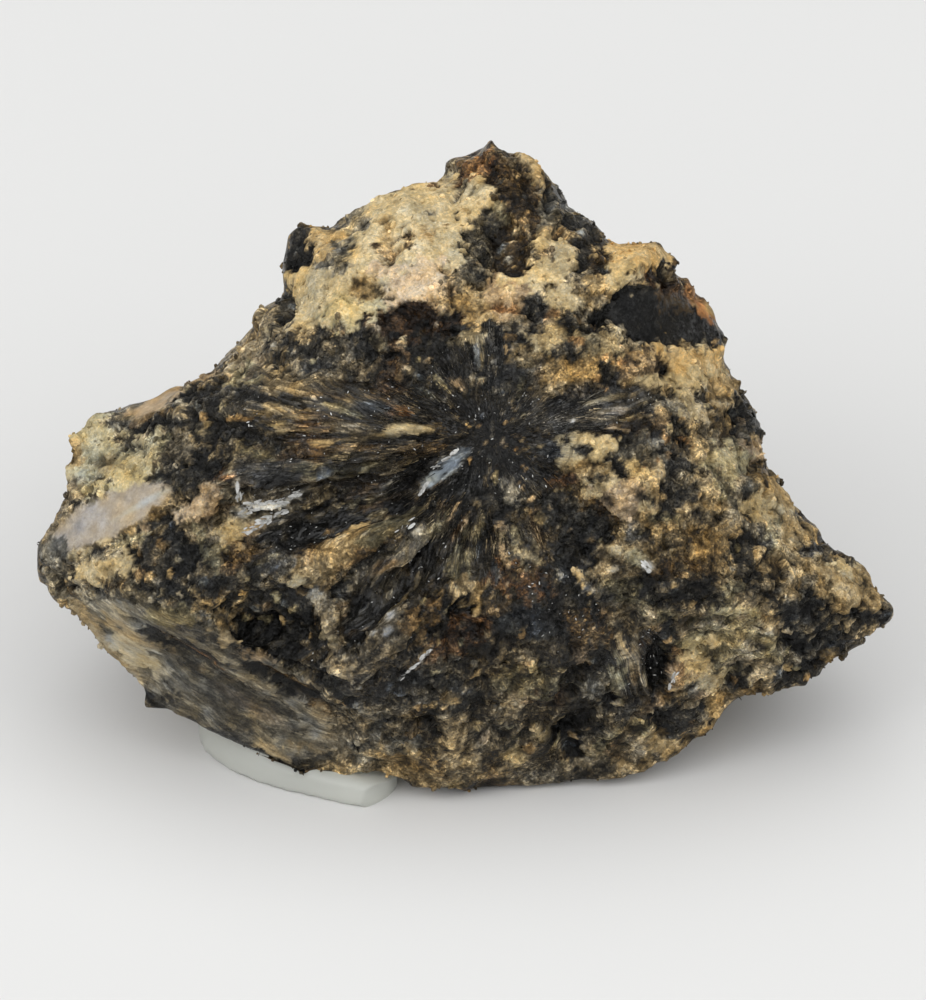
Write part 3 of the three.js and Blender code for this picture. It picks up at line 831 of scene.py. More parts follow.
# %% The cream hump, the right side and the bottom
CREAM_HUMP = [
    cream(5.6, -1.5, 2.7, 1.5, 0.57, -28), cream(4.8, -0.5, 1.4, 0.7, 0.62, 12),
    cream(5.4, -0.2, 0.9, 0.4, 0.70), grey(4.35, -0.5, 0.35, 0.2, 0.28),
    ochre(4.6, -1.5, 1.1, 0.4, 0.46, 5), grey(7.4, -0.5, 1.2, 0.7, 0.40, -10),
    tan(7.9, -1.9, 1.0, 0.7, 0.50), pink(6.2, -2.8, 0.9, 1.0, 0.53, -30),
    pink(6.5, -3.7, 0.4, 0.7, 0.56, 15), black(6.0, -1.35, 0.45, 0.55, 0.10, 15),
    black(5.3, -1.85, 0.35, 0.15, 0.08, -20), black(8.4, -3.0, 1.0, 0.35, 0.20, -10),
    black(7.1, -4.5, 0.9, 0.5, 0.17), olive(8.3, -3.7, 1.0, 0.28, 0.42),
    ochre(7.6, -4.3, 0.6, 0.25, 0.46, -30), black(9.3, -1.7, 0.9, 1.8, 0.20, 20),
    black(8.7, 0.4, 0.9, 0.6, 0.18), rust(3.5, -2.0, 0.8, 0.25, 0.26, 10),
]
RIGHT_SIDE = [
    ochre(13.6, -4.0, 3.4, 1.5, 0.50, -46), ochre(17.2, -7.1, 2.2, 0.9, 0.57, -36),
    tan(10.6, -2.2, 1.9, 2.4, 0.42, 20), olive(11.6, -9.9, 2.6, 1.5, 0.38),
    black(9.1, -2.2, 0.8, 1.2, 0.24, 15), tan(9.7, -3.6, 0.8, 0.5, 0.46, -20),
    olive(11.2, -1.1, 1.0, 0.9, 0.57), olive(10.8, -2.3, 0.7, 0.5, 0.46),
    cream(13.0, -3.3, 1.3, 0.6, 0.62), ochre(13.9, -2.6, 1.2, 0.5, 0.58, -45),
    ochre(14.6, -4.5, 1.1, 0.7, 0.54, -40), ochre(10.6, -3.3, 0.6, 0.3, 0.50, -20),
    grey(11.9, -2.4, 0.5, 0.3, 0.42), olive(13.5, -4.6, 0.5, 0.6, 0.50),
    grey(12.3, -4.4, 0.9, 0.5, 0.30, -30), black(12.0, -5.5, 0.9, 0.9, 0.18),
    black(12.5, -6.4, 0.8, 0.5, 0.12), brown(15.2, -3.6, 0.45, 0.35, 0.25),
    black(15.5, -5.3, 0.6, 0.4, 0.22), ochre(15.3, -5.9, 0.6, 0.3, 0.50),
    ochre(13.9, -6.0, 0.9, 0.35, 0.42), cream(17.1, -6.3, 1.0, 0.4, 0.62, -20),
    ochre(16.1, -7.1, 0.6, 0.5, 0.48), ochre(17.0, -8.1, 0.7, 0.5, 0.50),
    ochre(18.2, -7.0, 1.0, 0.35, 0.52, -42), black(14.6, -8.2, 1.5, 0.8, 0.14),
    black(18.6, -8.8, 1.5, 0.5, 0.09, -5), ochre(18.5, -7.9, 0.5, 0.25, 0.52),
    black(19.5, -8.5, 0.7, 0.6, 0.08), black(16.6, -9.5, 1.6, 0.6, 0.18),
    ochre(16.5, -10.7, 0.5, 0.4, 0.40), black(15.0, -9.7, 1.2, 0.6, 0.07),
    black(14.5, -11.3, 1.3, 0.8, 0.16), black(9.7, -7.4, 2.2, 0.6, 0.20),
    olive(11.5, -7.2, 0.6, 0.5, 0.42), olive(11.9, -8.2, 1.1, 0.4, 0.58),
    ochre(13.4, -8.8, 0.6, 0.35, 0.52), olive(13.4, -9.9, 0.5, 0.35, 0.58),
    grey(12.3, -9.9, 0.6, 0.4, 0.40), tan(12.3, -10.7, 1.3, 0.4, 0.46), olive(9.6, -9.9, 0.6, 0.5, 0.58),
    cream(9.8, -10.8, 1.0, 0.4, 0.62, -15), cream(10.5, -11.5, 0.9, 0.7, 0.58),
    cream(10.6, -9.7, 0.2, 0.35, 0.64), ochre(11.0, -13.0, 0.5, 1.1, 0.52, 10),
    ochre(10.5, -14.3, 0.4, 0.9, 0.50, -10), ochre(12.5, -12.1, 0.8, 0.4, 0.36),
    black(11.9, -11.7, 0.6, 0.3, 0.13), grey(9.5, -11.9, 0.35, 0.35, 0.48),
]
BOTTOM = [
    black(-2.5, -12.2, 2.2, 1.1, 0.16), black(8.8, -13.2, 1.4, 0.8, 0.16),
    olive(1.7, -11.6, 1.5, 0.8, 0.34), tan(0.3, -10.5, 0.25, 0.6, 0.42, -20),
    tan(1.0, -12.8, 0.5, 1.1, 0.44, -35), cream(0.5, -13.7, 0.3, 0.3, 0.50),
    tan(1.4, -10.3, 0.7, 0.35, 0.30), cream(2.5, -14.2, 0.5, 0.35, 0.50),
    cream(1.1, -15.2, 0.55, 0.4, 0.52, -30), tan(3.5, -13.5, 0.7, 0.4, 0.34),
    tan(0.6, -16.3, 0.5, 0.3, 0.46, 45), tan(-1.7, -14.8, 1.2, 1.4, 0.42),
    tan(-2.2, -13.5, 0.6, 0.4, 0.44), cream(-1.9, -16.5, 0.35, 0.3, 0.50),
    black(3.7, -14.7, 0.7, 1.4, 0.06, 10), olive(5.5, -14.5, 0.9, 0.3, 0.38, 50),
    cream(5.0, -15.3, 0.3, 0.2, 0.52), olive(7.3, -13.9, 0.6, 0.35, 0.38, -50),
    tan(6.7, -14.6, 0.9, 0.25, 0.36, 30), ochre(8.3, -14.8, 1.2, 0.6, 0.54),
    ochre(9.3, -15.1, 0.9, 0.3, 0.42, 10), ochre(7.2, -15.9, 1.4, 0.4, 0.46, 15),
    ochre(-2.0, -12.4, 0.4, 0.35, 0.40), tan(-1.2, -11.3, 0.5, 0.4, 0.36),
    ochre(-3.6, -13.0, 0.4, 0.3, 0.36), tan(-4.4, -14.6, 0.35, 0.4, 0.40),
    black(6.0, -13.0, 1.0, 0.6, 0.16), grey(-4.2, -14.6, 1.0, 0.5, 0.42),
    tan(-3.8, -15.1, 0.7, 0.2, 0.48, -50), grey(-5.6, -14.0, 0.3, 0.5, 0.46, 20),
]
print("patches:", len(CREAM_HUMP), "on the hump,", len(RIGHT_SIDE), "at the right,", len(BOTTOM), "below")

# %% The left end and the splintered face below it
LEFT_END = [
    olive(-18.5, -1.0, 2.6, 1.9, 0.68), cream(-18.7, -5.9, 1.8, 1.1, 0.63, 15),
    olive(-18.9, -0.4, 1.8, 1.5, 0.60), ochre(-20.2, -0.8, 0.5, 0.7, 0.54),
    cream(-18.4, -1.2, 0.9, 0.4, 0.60), olive(-17.3, -1.3, 0.9, 0.5, 0.57),
    olive(-16.2, -0.2, 0.7, 0.7, 0.52), grey(-17.8, 0.7, 0.9, 0.3, 0.34),
    black(-15.9, 0.7, 1.3, 0.3, 0.11, 5), grey(-17.5, 0.0, 0.6, 0.4, 0.28),
    tan(-15.4, -1.1, 0.5, 0.5, 0.36), black(-15.9, -1.8, 0.6, 0.3, 0.13),
    black(-18.7, -1.95, 0.7, 0.14, 0.15, -3), olive(-19.3, -2.5, 0.6, 0.5, 0.52),
    tan(-20.2, -2.4, 0.4, 0.5, 0.46), black(-19.9, -3.2, 0.4, 0.3, 0.22),
    pink(-16.3, 1.8, 1.6, 0.55, 0.58, 33), brown(-16.1, 1.15, 1.3, 0.15, 0.34, 12),
    pink(-13.0, 3.3, 2.0, 0.4, 0.54, 8), tan(-12.0, 4.0, 1.4, 0.5, 0.50, 35),
    # The two black lines at (-17.6, -4.75) are painted shadow under the lilac slab's lower edge, and the
    # white streak at (-16.6, -3.0) is a painted highlight near the slab's right end.
    lilac(-18.4, -3.7, 3.5, 0.95, 0.58, 26), black(-17.6, -4.75, 3.2, 0.2, 0.14, 27),
    white(-16.6, -3.0, 1.4, 0.14, 0.64, 30), black(-17.6, -4.75, 3.2, 0.16, 0.12, 28),
    pink(-14.2, -3.3, 1.4, 0.4, 0.62, 25), pink(-13.5, -2.9, 0.5, 0.8, 0.56),
    cream(-19.3, -5.8, 0.6, 0.5, 0.58), grey(-18.4, -5.5, 0.8, 0.4, 0.46),
    cream(-17.35, -5.8, 0.28, 0.45, 0.64, 10), cream(-18.3, -6.5, 0.4, 0.35, 0.54),
    olive(-17.3, -4.8, 1.2, 0.25, 0.50, 20), grey(-21.2, -5.6, 0.8, 0.9, 0.34),
    grey(-20.8, -6.6, 0.7, 0.6, 0.34), black(-15.6, -5.6, 1.7, 1.4, 0.13),
    cream(-15.2, -5.75, 0.22, 0.2, 0.52), olive(-14.0, -4.6, 0.25, 0.9, 0.46, 30),
    olive(-13.4, -5.6, 0.5, 0.8, 0.40, 35), tan(-13.8, -6.4, 0.5, 0.3, 0.42),
    ochre(-13.1, -7.2, 0.4, 0.3, 0.35), black(-16.0, -7.2, 1.8, 0.6, 0.20, -10),
]
LOWER_LEFT = [
    grey(-14.2, -10.8, 7.2, 2.3, 0.39, -28), grey(-18.3, -8.2, 2.6, 0.7, 0.50, -27),
    tan(-19.3, -9.2, 1.7, 0.5, 0.56, -52), tan(-17.4, -11.1, 1.4, 0.4, 0.52, -35),
    grey(-17.3, -10.2, 1.8, 0.6, 0.62, -32), tan(-17.4, -9.2, 2.0, 0.4, 0.54, -25),
    black(-14.0, -9.2, 1.2, 0.35, 0.20, -25), olive(-15.4, -8.5, 1.0, 0.5, 0.44),
    tan(-12.6, -9.4, 1.0, 0.5, 0.52, -35), pink(-11.3, -10.4, 1.0, 0.25, 0.50, -5),
    black(-15.2, -10.0, 2.2, 0.34, 0.10, -27), black(-12.9, -11.2, 1.9, 0.38, 0.10, -32),
    rust(-13.6, -10.7, 1.9, 0.1, 0.32, -29), black(-10.8, -11.3, 1.7, 0.32, 0.06, -28),
    black(-9.2, -12.2, 2.2, 0.4, 0.06, -32), brown(-9.9, -11.5, 1.4, 0.12, 0.30, -30),
    brown(-8.4, -12.9, 1.0, 0.18, 0.28, -33), grey(-12.0, -12.3, 3.6, 0.8, 0.27, -27),
    # The black patch at (-15.5, -12.3) and the grey band at (-12.2, -13.7) are partly dark minerals and
    # partly painted shade under the hanging edge.
    grey(-14.9, -11.2, 1.6, 0.2, 0.48, -27), black(-15.5, -12.3, 1.9, 0.5, 0.10, -20),
    grey(-12.2, -13.7, 4.2, 0.9, 0.35, -25), lilac(-11.6, -12.6, 1.9, 0.2, 0.36, -27),
    black(-11.4, -14.2, 2.8, 0.35, 0.09, -25), rust(-13.7, -14.0, 1.5, 0.2, 0.30, -30),
    tan(-10.4, -14.3, 1.5, 0.3, 0.50, -27), tan(-8.1, -13.4, 0.8, 0.3, 0.48, -32),
    brown(-11.4, -15.1, 1.9, 0.3, 0.32, -15), black(-8.4, -14.9, 1.2, 0.4, 0.16, -12),
    grey(-6.7, -12.6, 0.8, 0.2, 0.46, -25), black(-7.4, -12.0, 1.2, 0.3, 0.16, -32),
    grey(-6.2, -15.0, 0.9, 0.4, 0.42, -40), black(-9.2, -16.0, 1.6, 0.35, 0.10, -8),
]
DISPLAY_FACE = [
    *LEFT_END, *LOWER_LEFT, *PEAK, *LENS, *STAR_UPPER, *STAR_LEFT, *WEDGES, *FLAKES,
    *STAR_LOWER, *STAR_RIGHT, *CREAM_HUMP, *RIGHT_SIDE, *BOTTOM,
]
print("patches on the display face:", len(DISPLAY_FACE))

# %% [markdown]
# ## Smooth crystal faces
#
# A few broken crystals show flat, clean faces. On them the relief is faint, and no grain breaks the
# colour. The splintered face is about half as smooth.

# %% Cleaved faces
SPLINTERS_SMOOTH = 0.45
CLEAVED = [
    Patch(-18.4, -3.7, 3.5, 1.0, turn=26), Patch(-16.3, 1.8, 1.6, 0.6, turn=33),
    Patch(8.4, 5.9, 2.7, 1.2, turn=-6), Patch(-2.4, -1.4, 1.3, 0.45, turn=40),
]


def smoothness(face, facing, split):
    """1 on the smooth faces of crystals, 0 on rough grains."""
    smooth = SPLINTERS_SMOOTH * split
    for patch in CLEAVED:
        smooth = np.maximum(smooth, facing * (1 - soft_step(edge_distance(face, patch), -0.3, 0.2)))
    return smooth


smooth = smoothness(face_points, facing, split)
print("points on smooth faces:", np.count_nonzero(smooth > 0.5))

# %% [markdown]
# ## Whole grains
#
# On real rock a mineral's border runs along the edges of its grains, never through one. So the minerals
# aren't read at the point itself but at the middle of the point's grain, and among the needles at a place
# further in or out along the point's needle. The jump is the way from the point to there.

# %% Jumps to whole grains
IN_STAR = 0.3


def whole_grains(face, star):
    """Offsets that let a whole grain, or a whole needle, take the mineral found at one place in it."""
    _, _, _, to_middle = grain(bent(face, 0.12, 0.4, 71), 0.5, 74)
    _, number, _, _ = grain(needle_space(face), 0.7, 75)
    _, distance = polar(face)
    away = face / (distance[:, None] + 0.2)
    along = away * ((number - 0.5) * np.clip(0.32 * distance, 0.2, 1.6))[:, None]
    return to_middle + (star > IN_STAR)[:, None] * (along - to_middle)


jump = whole_grains(face_points, star)
print("longest jump:", round(np.linalg.norm(jump, axis=1).max(), 2), "mm")

# %% [markdown]
# ## Paint
#
# The whole stone gets a first coat: tan that drifts to ochre and rust, lighter and darker in slow lumps.
# The ground around the star is darker, and so are the needles themselves. Then the patches of the display
# face go on. Last, single odd grains are strewn in: pale ones in the dark parts, dark ones in the paler
# parts.

# %% The first coat
ROUND_LIGHT = 0.36
DISPLAY_LIGHT = 0.35
DARKEST_COAT = 0.06
PALEST_COAT = 0.9
COAT_JUMP = 0.7
DARK_GROUND = [Patch(-3.2, -2.6, 10.5, 7.0, turn=18), Patch(0.6, -10.8, 6.0, 4.6)]


def base_minerals(face, star, facing):
    """Lightness and hue of the stone before any patch is laid."""
    slow, broad = wander(face, 5.5, 51), wander(face, 2.2, 52)
    light = ROUND_LIGHT + 0.13 * slow + 0.12 * broad
    outside = np.minimum(*[edge_distance(face, patch) for patch in DARK_GROUND])
    ground = 1 - soft_step(outside + broad, -1.2, 1.2)
    light += facing * (DISPLAY_LIGHT - ROUND_LIGHT - 0.05 * slow - 0.16 * ground)
    light -= 0.12 * star
    rusty = soft_step(wander(face, 3.0, 53) + 0.4 * wander(face, 1.0, 54), 0.3, 0.9)[:, None]
    yellow = soft_step(wander(face, 4.2, 55), 0.0, 0.7)[:, None]
    hue = hue_of("tan") * (1 - yellow) + hue_of("ochre") * yellow
    hue = hue * (1 - 0.7 * rusty) + hue_of("rust") * 0.7 * rusty
    return np.clip(light, DARKEST_COAT, PALEST_COAT), hue


light, hue = base_minerals(face_points + COAT_JUMP * jump, star, facing)
print("first coat, lightness from", round(light.min(), 2), "to", round(light.max(), 2))

# %% The patches
CRISP_LOOSE = 0.3
MOST_RAGGED = 0.6
PATCH_BLUR = 0.1
PATCH_SPARE = 1.2
NEEDLE_TINT = np.array([-0.02, 0.0, 0.05])


def paint(face, jump, facing, tone, light, hue):
    """Lays every patch over the first coat, in order. Small patches and crisp minerals jump less."""
    ragged = 0.4 * tone + 0.5 * wander(face, 0.9, 56) + 0.5 * wander(face, 0.36, 57)
    for patch in DISPLAY_FACE:
        width = min(patch.long, patch.wide)
        reach = max(patch.long, patch.wide) + PATCH_SPARE
        near = np.hypot(face[:, 0] - patch.right, face[:, 1] - patch.up) < reach
        near = np.flatnonzero(near & (facing > 0))
        loose = CRISP_LOOSE if patch.mineral in CRISP else 1.0
        landed = face[near] + loose * min(1, 1.6 * width) * jump[near]
        frayed = loose * min(MOST_RAGGED, MOST_RAGGED * width) * ragged[near]
        distance = edge_distance(landed, patch) + frayed
        mask = facing[near] * (1 - soft_step(distance, -PATCH_BLUR, PATCH_BLUR))
        light[near] += mask * (patch.amount - light[near])
        hue[near] += mask[:, None] * (hue_of(patch.mineral) - hue[near])
    return light, hue


light, hue = paint(face_points, jump, facing, tone, light, hue)
hue = hue * (1 + star[:, None] * NEEDLE_TINT)
print("painted, lightness from", round(light.min(), 2), "to", round(light.max(), 2))

# %% Single odd grains
FLECK_HUES = ("tan", "cream", "ochre", "tan", "pink", "white", "brown", "blue", "olive")
ODD_DARK = (0.14, 0.16)
ODD_PALE = (0.84, 0.86)
KIND_SCRAMBLE = 97
STRENGTH_SCRAMBLE = 389


def flecked(face, star, seen, light, hue):
    """Adds single pale grains to the dark parts and single dark grains to the paler parts."""
    near, number, _, _ = grain(bent(face, 0.12, 0.4, 76), 0.46, 79)
    needle_near, needle_number, _, _ = grain(needle_space(face), 0.8, 80)
    in_star = star > IN_STAR
    near = np.where(in_star, needle_near, near)
    number = np.where(in_star, needle_number, number)
    seen = seen * soft_step(near, 0.35, 0.5)
    kind = np.modf(number * KIND_SCRAMBLE)[0]
    strong = np.modf(number * STRENGTH_SCRAMBLE)[0]
    pale = soft_step(number, *ODD_PALE)
    dark = 1 - soft_step(number, *ODD_DARK)
    pale_share = seen * pale * (1 - soft_step(light, 0.2, 0.34))
    dark_share = 0.8 * seen * dark * soft_step(light, 0.3, 0.4) * (1 - soft_step(light, 0.45, 0.55))
    hues = np.array([hue_of(mineral) for mineral in FLECK_HUES])[(kind * len(FLECK_HUES)).astype(int)]
    light = light + pale_share * (0.26 + 0.34 * strong ** 2 - light)
    hue = hue + pale_share[:, None] * (hues - hue)
    light = light + dark_share * (0.10 + 0.14 * strong - light)
    return light, hue


plain = light
light, hue = flecked(face_points, star, 1 - smooth, light, hue)
print("points on odd grains:", np.count_nonzero(light != plain))

# %% [markdown]
# ## Ridges and hollows
#
# Pale grains stand a little higher than dark ones, and their own relief is lower. A few ridges, steps and
# pits are placed one by one. A patch's amount is now its height in millimetres.

# %% Ridges and hollows
PALE_EVEN = 0.55
PALE_RISE = 0.40
STAR_LEVEL = 0.25
RIDGE_BLUR = 0.35
RAISED = [
    Patch(-7.2, -5.3, 2.9, 0.7, 0.35, 26), Patch(-7.3, -3.9, 3.5, 0.6, -0.5, 14),
    Patch(-4.6, -5.5, 2.4, 0.3, 0.4, 36), Patch(-6.2, -6.3, 2.2, 0.3, -0.4, 38),
    Patch(-4.7, -7.2, 3.4, 0.5, -0.6, 41), Patch(-4.9, -9.3, 2.4, 0.6, 0.15, 44),
    Patch(-10.3, -9.4, 1.7, 0.9, -0.6, -10), Patch(-7.9, -8.9, 0.5, 1.4, 0.15),
    Patch(0.9, 9.4, 1.0, 1.2, -0.4), Patch(-3.9, 9.6, 0.5, 0.4, -0.2), Patch(-5.0, 9.3, 0.4, 0.8, -0.2),
    Patch(-2.4, -1.4, 1.2, 0.4, 0.3, 40), Patch(-3.9, 0.5, 1.2, 0.25, 0.2, -3),
    Patch(6.3, -2.8, 0.8, 1.0, 0.35, -30), Patch(-1.6, -8.2, 0.7, 0.5, -0.6),
    Patch(3.7, -14.7, 0.5, 1.2, -0.7, 10), Patch(8.0, -11.0, 0.4, 1.0, -0.6),
    Patch(-17.6, -4.8, 3.2, 0.25, -0.4, 28), Patch(-10.8, -3.0, 1.2, 0.3, 0.35, 6),
    Patch(-14.1, -10.7, 2.2, 0.3, -0.5, -32), Patch(-9.3, -12.1, 2.1, 0.25, -0.45, -33),
    Patch(-8.2, 0.0, 3.0, 0.25, 0.2, 2), Patch(5.2, 6.0, 0.9, 0.5, -0.5),
    Patch(-1.0, 14.2, 0.6, 0.4, -0.5), Patch(0.9, 14.3, 0.5, 0.4, -0.4), Patch(-1.6, 13.2, 0.3, 0.2, 0.3),
]


def carved(face):
    """The height of the hand-placed ridges and hollows, in millimetres."""
    height = np.zeros(len(face))
    for patch in RAISED:
        outside = soft_step(edge_distance(face, patch), -RIDGE_BLUR, RIDGE_BLUR)
        height += patch.amount * (1 - outside)
    return height


push *= 1 - PALE_EVEN * soft_step(light, 0.35, 0.65)
push += (PALE_RISE - STAR_LEVEL * star) * (light - DISPLAY_LIGHT) + facing * carved(face_points)
print("stone pushed by", round(push.min(), 2), "to", round(push.max(), 2), "mm")

# %% [markdown]
# ## Where the relief dies away
#
# The push fades out at the foot, where the stone stands, and is weak on smooth faces. Where the mesh is
# coarse a sharp push would only tear it, so there it is evened out: each point takes a share of its value
# from its neighbours.


# %% Even the relief out
def evened(mesh, values, share, rounds):
    """Values with a share of each point's value taken from its neighbours."""
    ends = np.zeros(len(mesh.edges) * 2, int)
    mesh.edges.foreach_get("vertices", ends)
    first, second = ends.reshape(-1, 2).T
    count = np.bincount(ends, minlength=len(values))
    for _ in range(rounds):
        around = np.bincount(first, values[second], len(values))
        around += np.bincount(second, values[first], len(values))
        values = values + share * (around / count - values)
    return values


SMOOTH_FALL = 0.8
height = from_face(face_points)[:, 2] / MM
push *= 1 - SMOOTH_FALL * smooth
push *= soft_step(height, 0.0, 1.0)
coarse = 1 - soft_step(face_normals[:, 2], 0.0, 0.4)
push = evened(stone_mesh, push, 0.2 + 0.5 * coarse, rounds=2)
print("pushed by", round(push.min(), 2), "to", round(push.max(), 2), "mm")

# %% [markdown]
# ## The colour of each point
#
# Grains lighten and darken their mineral through a power of the lightness. Dark minerals get a few bright
# specks, partly pale grains and partly painted glints, and pale minerals a few dark specks, partly dark
# grains and partly painted shade in pits. Stains drift over everything.

# %% Grained colours
PALE = (0.45, 0.65)
LEAST_CONTRAST = 0.3
MORE_CONTRAST = 0.4
PALE_SPECK_AND_GLINT = 0.36
DARK_SPECK_AND_PIT_SHADE = 0.13
RUST_DRIFT = np.array([0.06, 0.0, -0.13])


def grained(light, hue, tone, smooth, star):
    """The lightness with the grains' own lightness and specks. Middling minerals vary most."""
    uneven = 1 - 0.6 * soft_step(light, *PALE)
    contrast = LEAST_CONTRAST + MORE_CONTRAST * (4 * light * (1 - light)) ** 2
    contrast = contrast * (1 - 0.6 * smooth) * uneven
    result = light ** np.exp(-contrast * tone)
    # Bright specks on dark minerals: partly pale grains, partly painted glints.
    pale_grains_and_glints = soft_step(tone, 0.55, 0.95) * (1 - soft_step(light, 0.15, 0.35)) * (1 - smooth)
    pale_grains_and_glints *= 1 - 0.8 * soft_step(hue[:, 0] - hue[:, 2], 0.55, 0.72)
    # Dark specks on paler minerals: partly dark grains, partly painted shade in pits.
    dark_grains_and_pit_shade = soft_step(-tone, 0.7, 1.1) * soft_step(light, 0.2, 0.4) * (1 - smooth)
    dark_grains_and_pit_shade *= 1 - 0.8 * soft_step(light, 0.5, 0.65)
    result += 0.05 * soft_step(light, *PALE) + 0.012 * star
    result += 0.45 * pale_grains_and_glints * (PALE_SPECK_AND_GLINT - result)
    result += 0.75 * dark_grains_and_pit_shade * (DARK_SPECK_AND_PIT_SHADE - result)
    return result


def stained(face, hue, tone, smooth):
    """The hues with light grains turned to tan, and with slow drifts to rusty and to grey."""
    faded = (soft_step(tone, -0.9, 0.9) * 0.35 * (1 - smooth))[:, None]
    hue = hue * (1 - faded) + hue_of("tan") * faded
    warmth = (0.7 * wander(face, 0.6, 58) + 0.7 * wander(face, 1.7, 59))[:, None]
    return hue * (1 + warmth * RUST_DRIFT)


def linear_colour(light, hue):
    """The linear colour of a lightness and a hue on a screen scale. Pale minerals have less colour."""
    strong = hue ** (1.15 - 0.28 * light[:, None])
    return linear(np.clip(light[:, None] * strong, 0.0, 1.0))


grained_light = grained(light, hue, tone, smooth, star)
mineral_colour = linear_colour(grained_light, stained(face_points, hue, tone, smooth))
print("mean colour of the stone:", np.round(mineral_colour.mean(axis=0), 3))

# %% [markdown]
# ## Handing it to the material
#
# The material reads what each point holds: its colour, how light and how smooth it is, and how much it is
# star. The streak is a place in the space of its own pattern, so that noise read there comes out as
# crumbs on the matrix, as splinters at the lower left and as needles on the star.

# %% Attributes
CRUMB_SIZE = 0.3
FINER = 2.6


def set_attribute(mesh, name, values, kind="FLOAT"):
    """Stores a value for each point of a mesh."""
    slots = {"FLOAT": "value", "FLOAT_VECTOR": "vector"}
    attribute = mesh.attributes.new(name, kind, "POINT")
    attribute.data.foreach_set(slots[kind], np.asarray(values, np.float32).ravel())


on_splinters = (edge_distance(face_points, SPLINTERED) < 0)[:, None]
streak = np.where(on_splinters, FINER * splinter_space(face_points), face_points / CRUMB_SIZE)
streak = np.where((star > 0.5)[:, None], FINER * needle_space(face_points), streak)
set_attribute(stone_mesh, "mineral", mineral_colour, "FLOAT_VECTOR")
set_attribute(stone_mesh, "streak", streak, "FLOAT_VECTOR")
set_attribute(stone_mesh, "smoothness", smooth)
set_attribute(stone_mesh, "lightness", light)
set_attribute(stone_mesh, "star", star)
print("attributes:", ", ".join(attribute.name for attribute in stone_mesh.attributes))

# %% [markdown]
# ## The stone's edges
#
# The relief frays every edge alike, and on the real stone some edges are cleaner than others. The two tips
# are drawn to points, the hem of the hanging edge at the lower left is tucked up to a straight line, and
# the places around that edge, the back and the foot are calmed. Last, everything is eased back inside the
# packed box.

# %% Tips, hem and box
Tip = namedtuple("Tip", "right up heading reach strength")
TIPS = [Tip(-0.05, 14.7, 90, 1.0, 0.6), Tip(19.6, -8.4, 0, 1.6, 0.45)]
HEM_MIDDLE = (-12.4, -14.6)
HEM_REACH = 3.9
HEM_FALL = -0.42
HEM_EASE = 0.15
BOX_EASE = 0.10
FOOT_BAND = 0.5


def calmed(mesh, places, share, rounds):
    """Places drawn towards their neighbours, each by its own share."""
    for _ in range(rounds):
        places = np.stack([evened(mesh, places[:, axis], share, 1) for axis in range(3)], 1)
    return places


def pointed(face):
    """The stone with its two tips drawn to points."""
    drawn = face.copy()
    for tip in TIPS:
        along, across = turned(tip.heading)
        offset = face[:, :2] - np.array([tip.right, tip.up])
        aside = offset @ across
        squeeze = tip.strength * soft_step(offset @ along, -tip.reach, 0)
        squeeze *= np.abs(aside) < 2 * tip.reach
        drawn[:, :2] -= (squeeze * aside)[:, None] * across
    return drawn


def hemmed(face):
    """The stone with the ragged hem of its hanging edge tucked up to a straight line."""
    right, up = (face[:, :2] - np.array(HEM_MIDDLE)).T
    below = HEM_EASE * np.logaddexp(0, (right * HEM_FALL - up) / HEM_EASE)
    tucked = face.copy()
    tucked[:, 1] += 0.85 * below * (1 - soft_step(np.abs(right), HEM_REACH - 1, HEM_REACH))
    return tucked


def held_inside(places):
    """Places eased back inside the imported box, so that its sides never show as flat cuts."""
    ease = BOX_EASE * MM
    low, high = np.array(rock_low), np.array(rock_high)
    above_low = low + ease * np.logaddexp(0, (places - low) / ease)
    below_high = high - ease * np.logaddexp(0, (high - places) / ease)
    eased = np.where(places < (low + high) / 2, above_low, below_high)
    at_foot = places[:, 2] < FOOT_BAND * MM
    eased[:, 2] = np.where(at_foot, np.maximum(places[:, 2], 0), eased[:, 2])
    return eased


print("tips drawn to points:", len(TIPS))

# %% Shape the stone
HANGING = Patch(-11.4, -14.7, 5.4, 1.7, turn=-24)
HANG_DROP = 0.9
MOST_CALM = 0.7
hang = 1 - soft_step(edge_distance(face_points, HANGING), -1.0, 0.8)
calm_push = push * (1 - 0.6 * hang) * (1 - 0.8 * soft_step(face_points[:, 1], 13.6, 14.6))
shaped_points = face_points + face_normals * calm_push[:, None]
shaped_points -= np.array([0, HANG_DROP, 0]) * hang[:, None]
foot = 1 - soft_step(height, 1.8, 4.5)
softness = np.clip(0.5 * hang + 0.15 * (1 - facing) + 0.6 * foot, 0, MOST_CALM)
softness *= 1 - soft_step(face_points[:, 0], 16.5, 18.0)
shaped_points = hemmed(pointed(calmed(stone_mesh, shaped_points, softness, rounds=8)))
stone_points = held_inside(from_face(shaped_points))
stone_mesh.vertices.foreach_set("co", stone_points.ravel())
stone_mesh.update()
print("stone from", np.round(stone_points.min(0), 4), "to", np.round(stone_points.max(0), 4), "m")

# %% [markdown]
# ## The stone's finish
#
# Noise too fine for the mesh breaks each grain up. Pale grains are matt and sugary. Dark crystals are
# glossy and covered in tiny flat facets, each turned its own way, so that here and there one catches the
# lamp. A few dark grains also get painted glints: bright specks in their colour that stand for facets
# catching the lamp.

# %% Small facets
COARSE_FACET = 0.34
FINE_FACET = 0.15


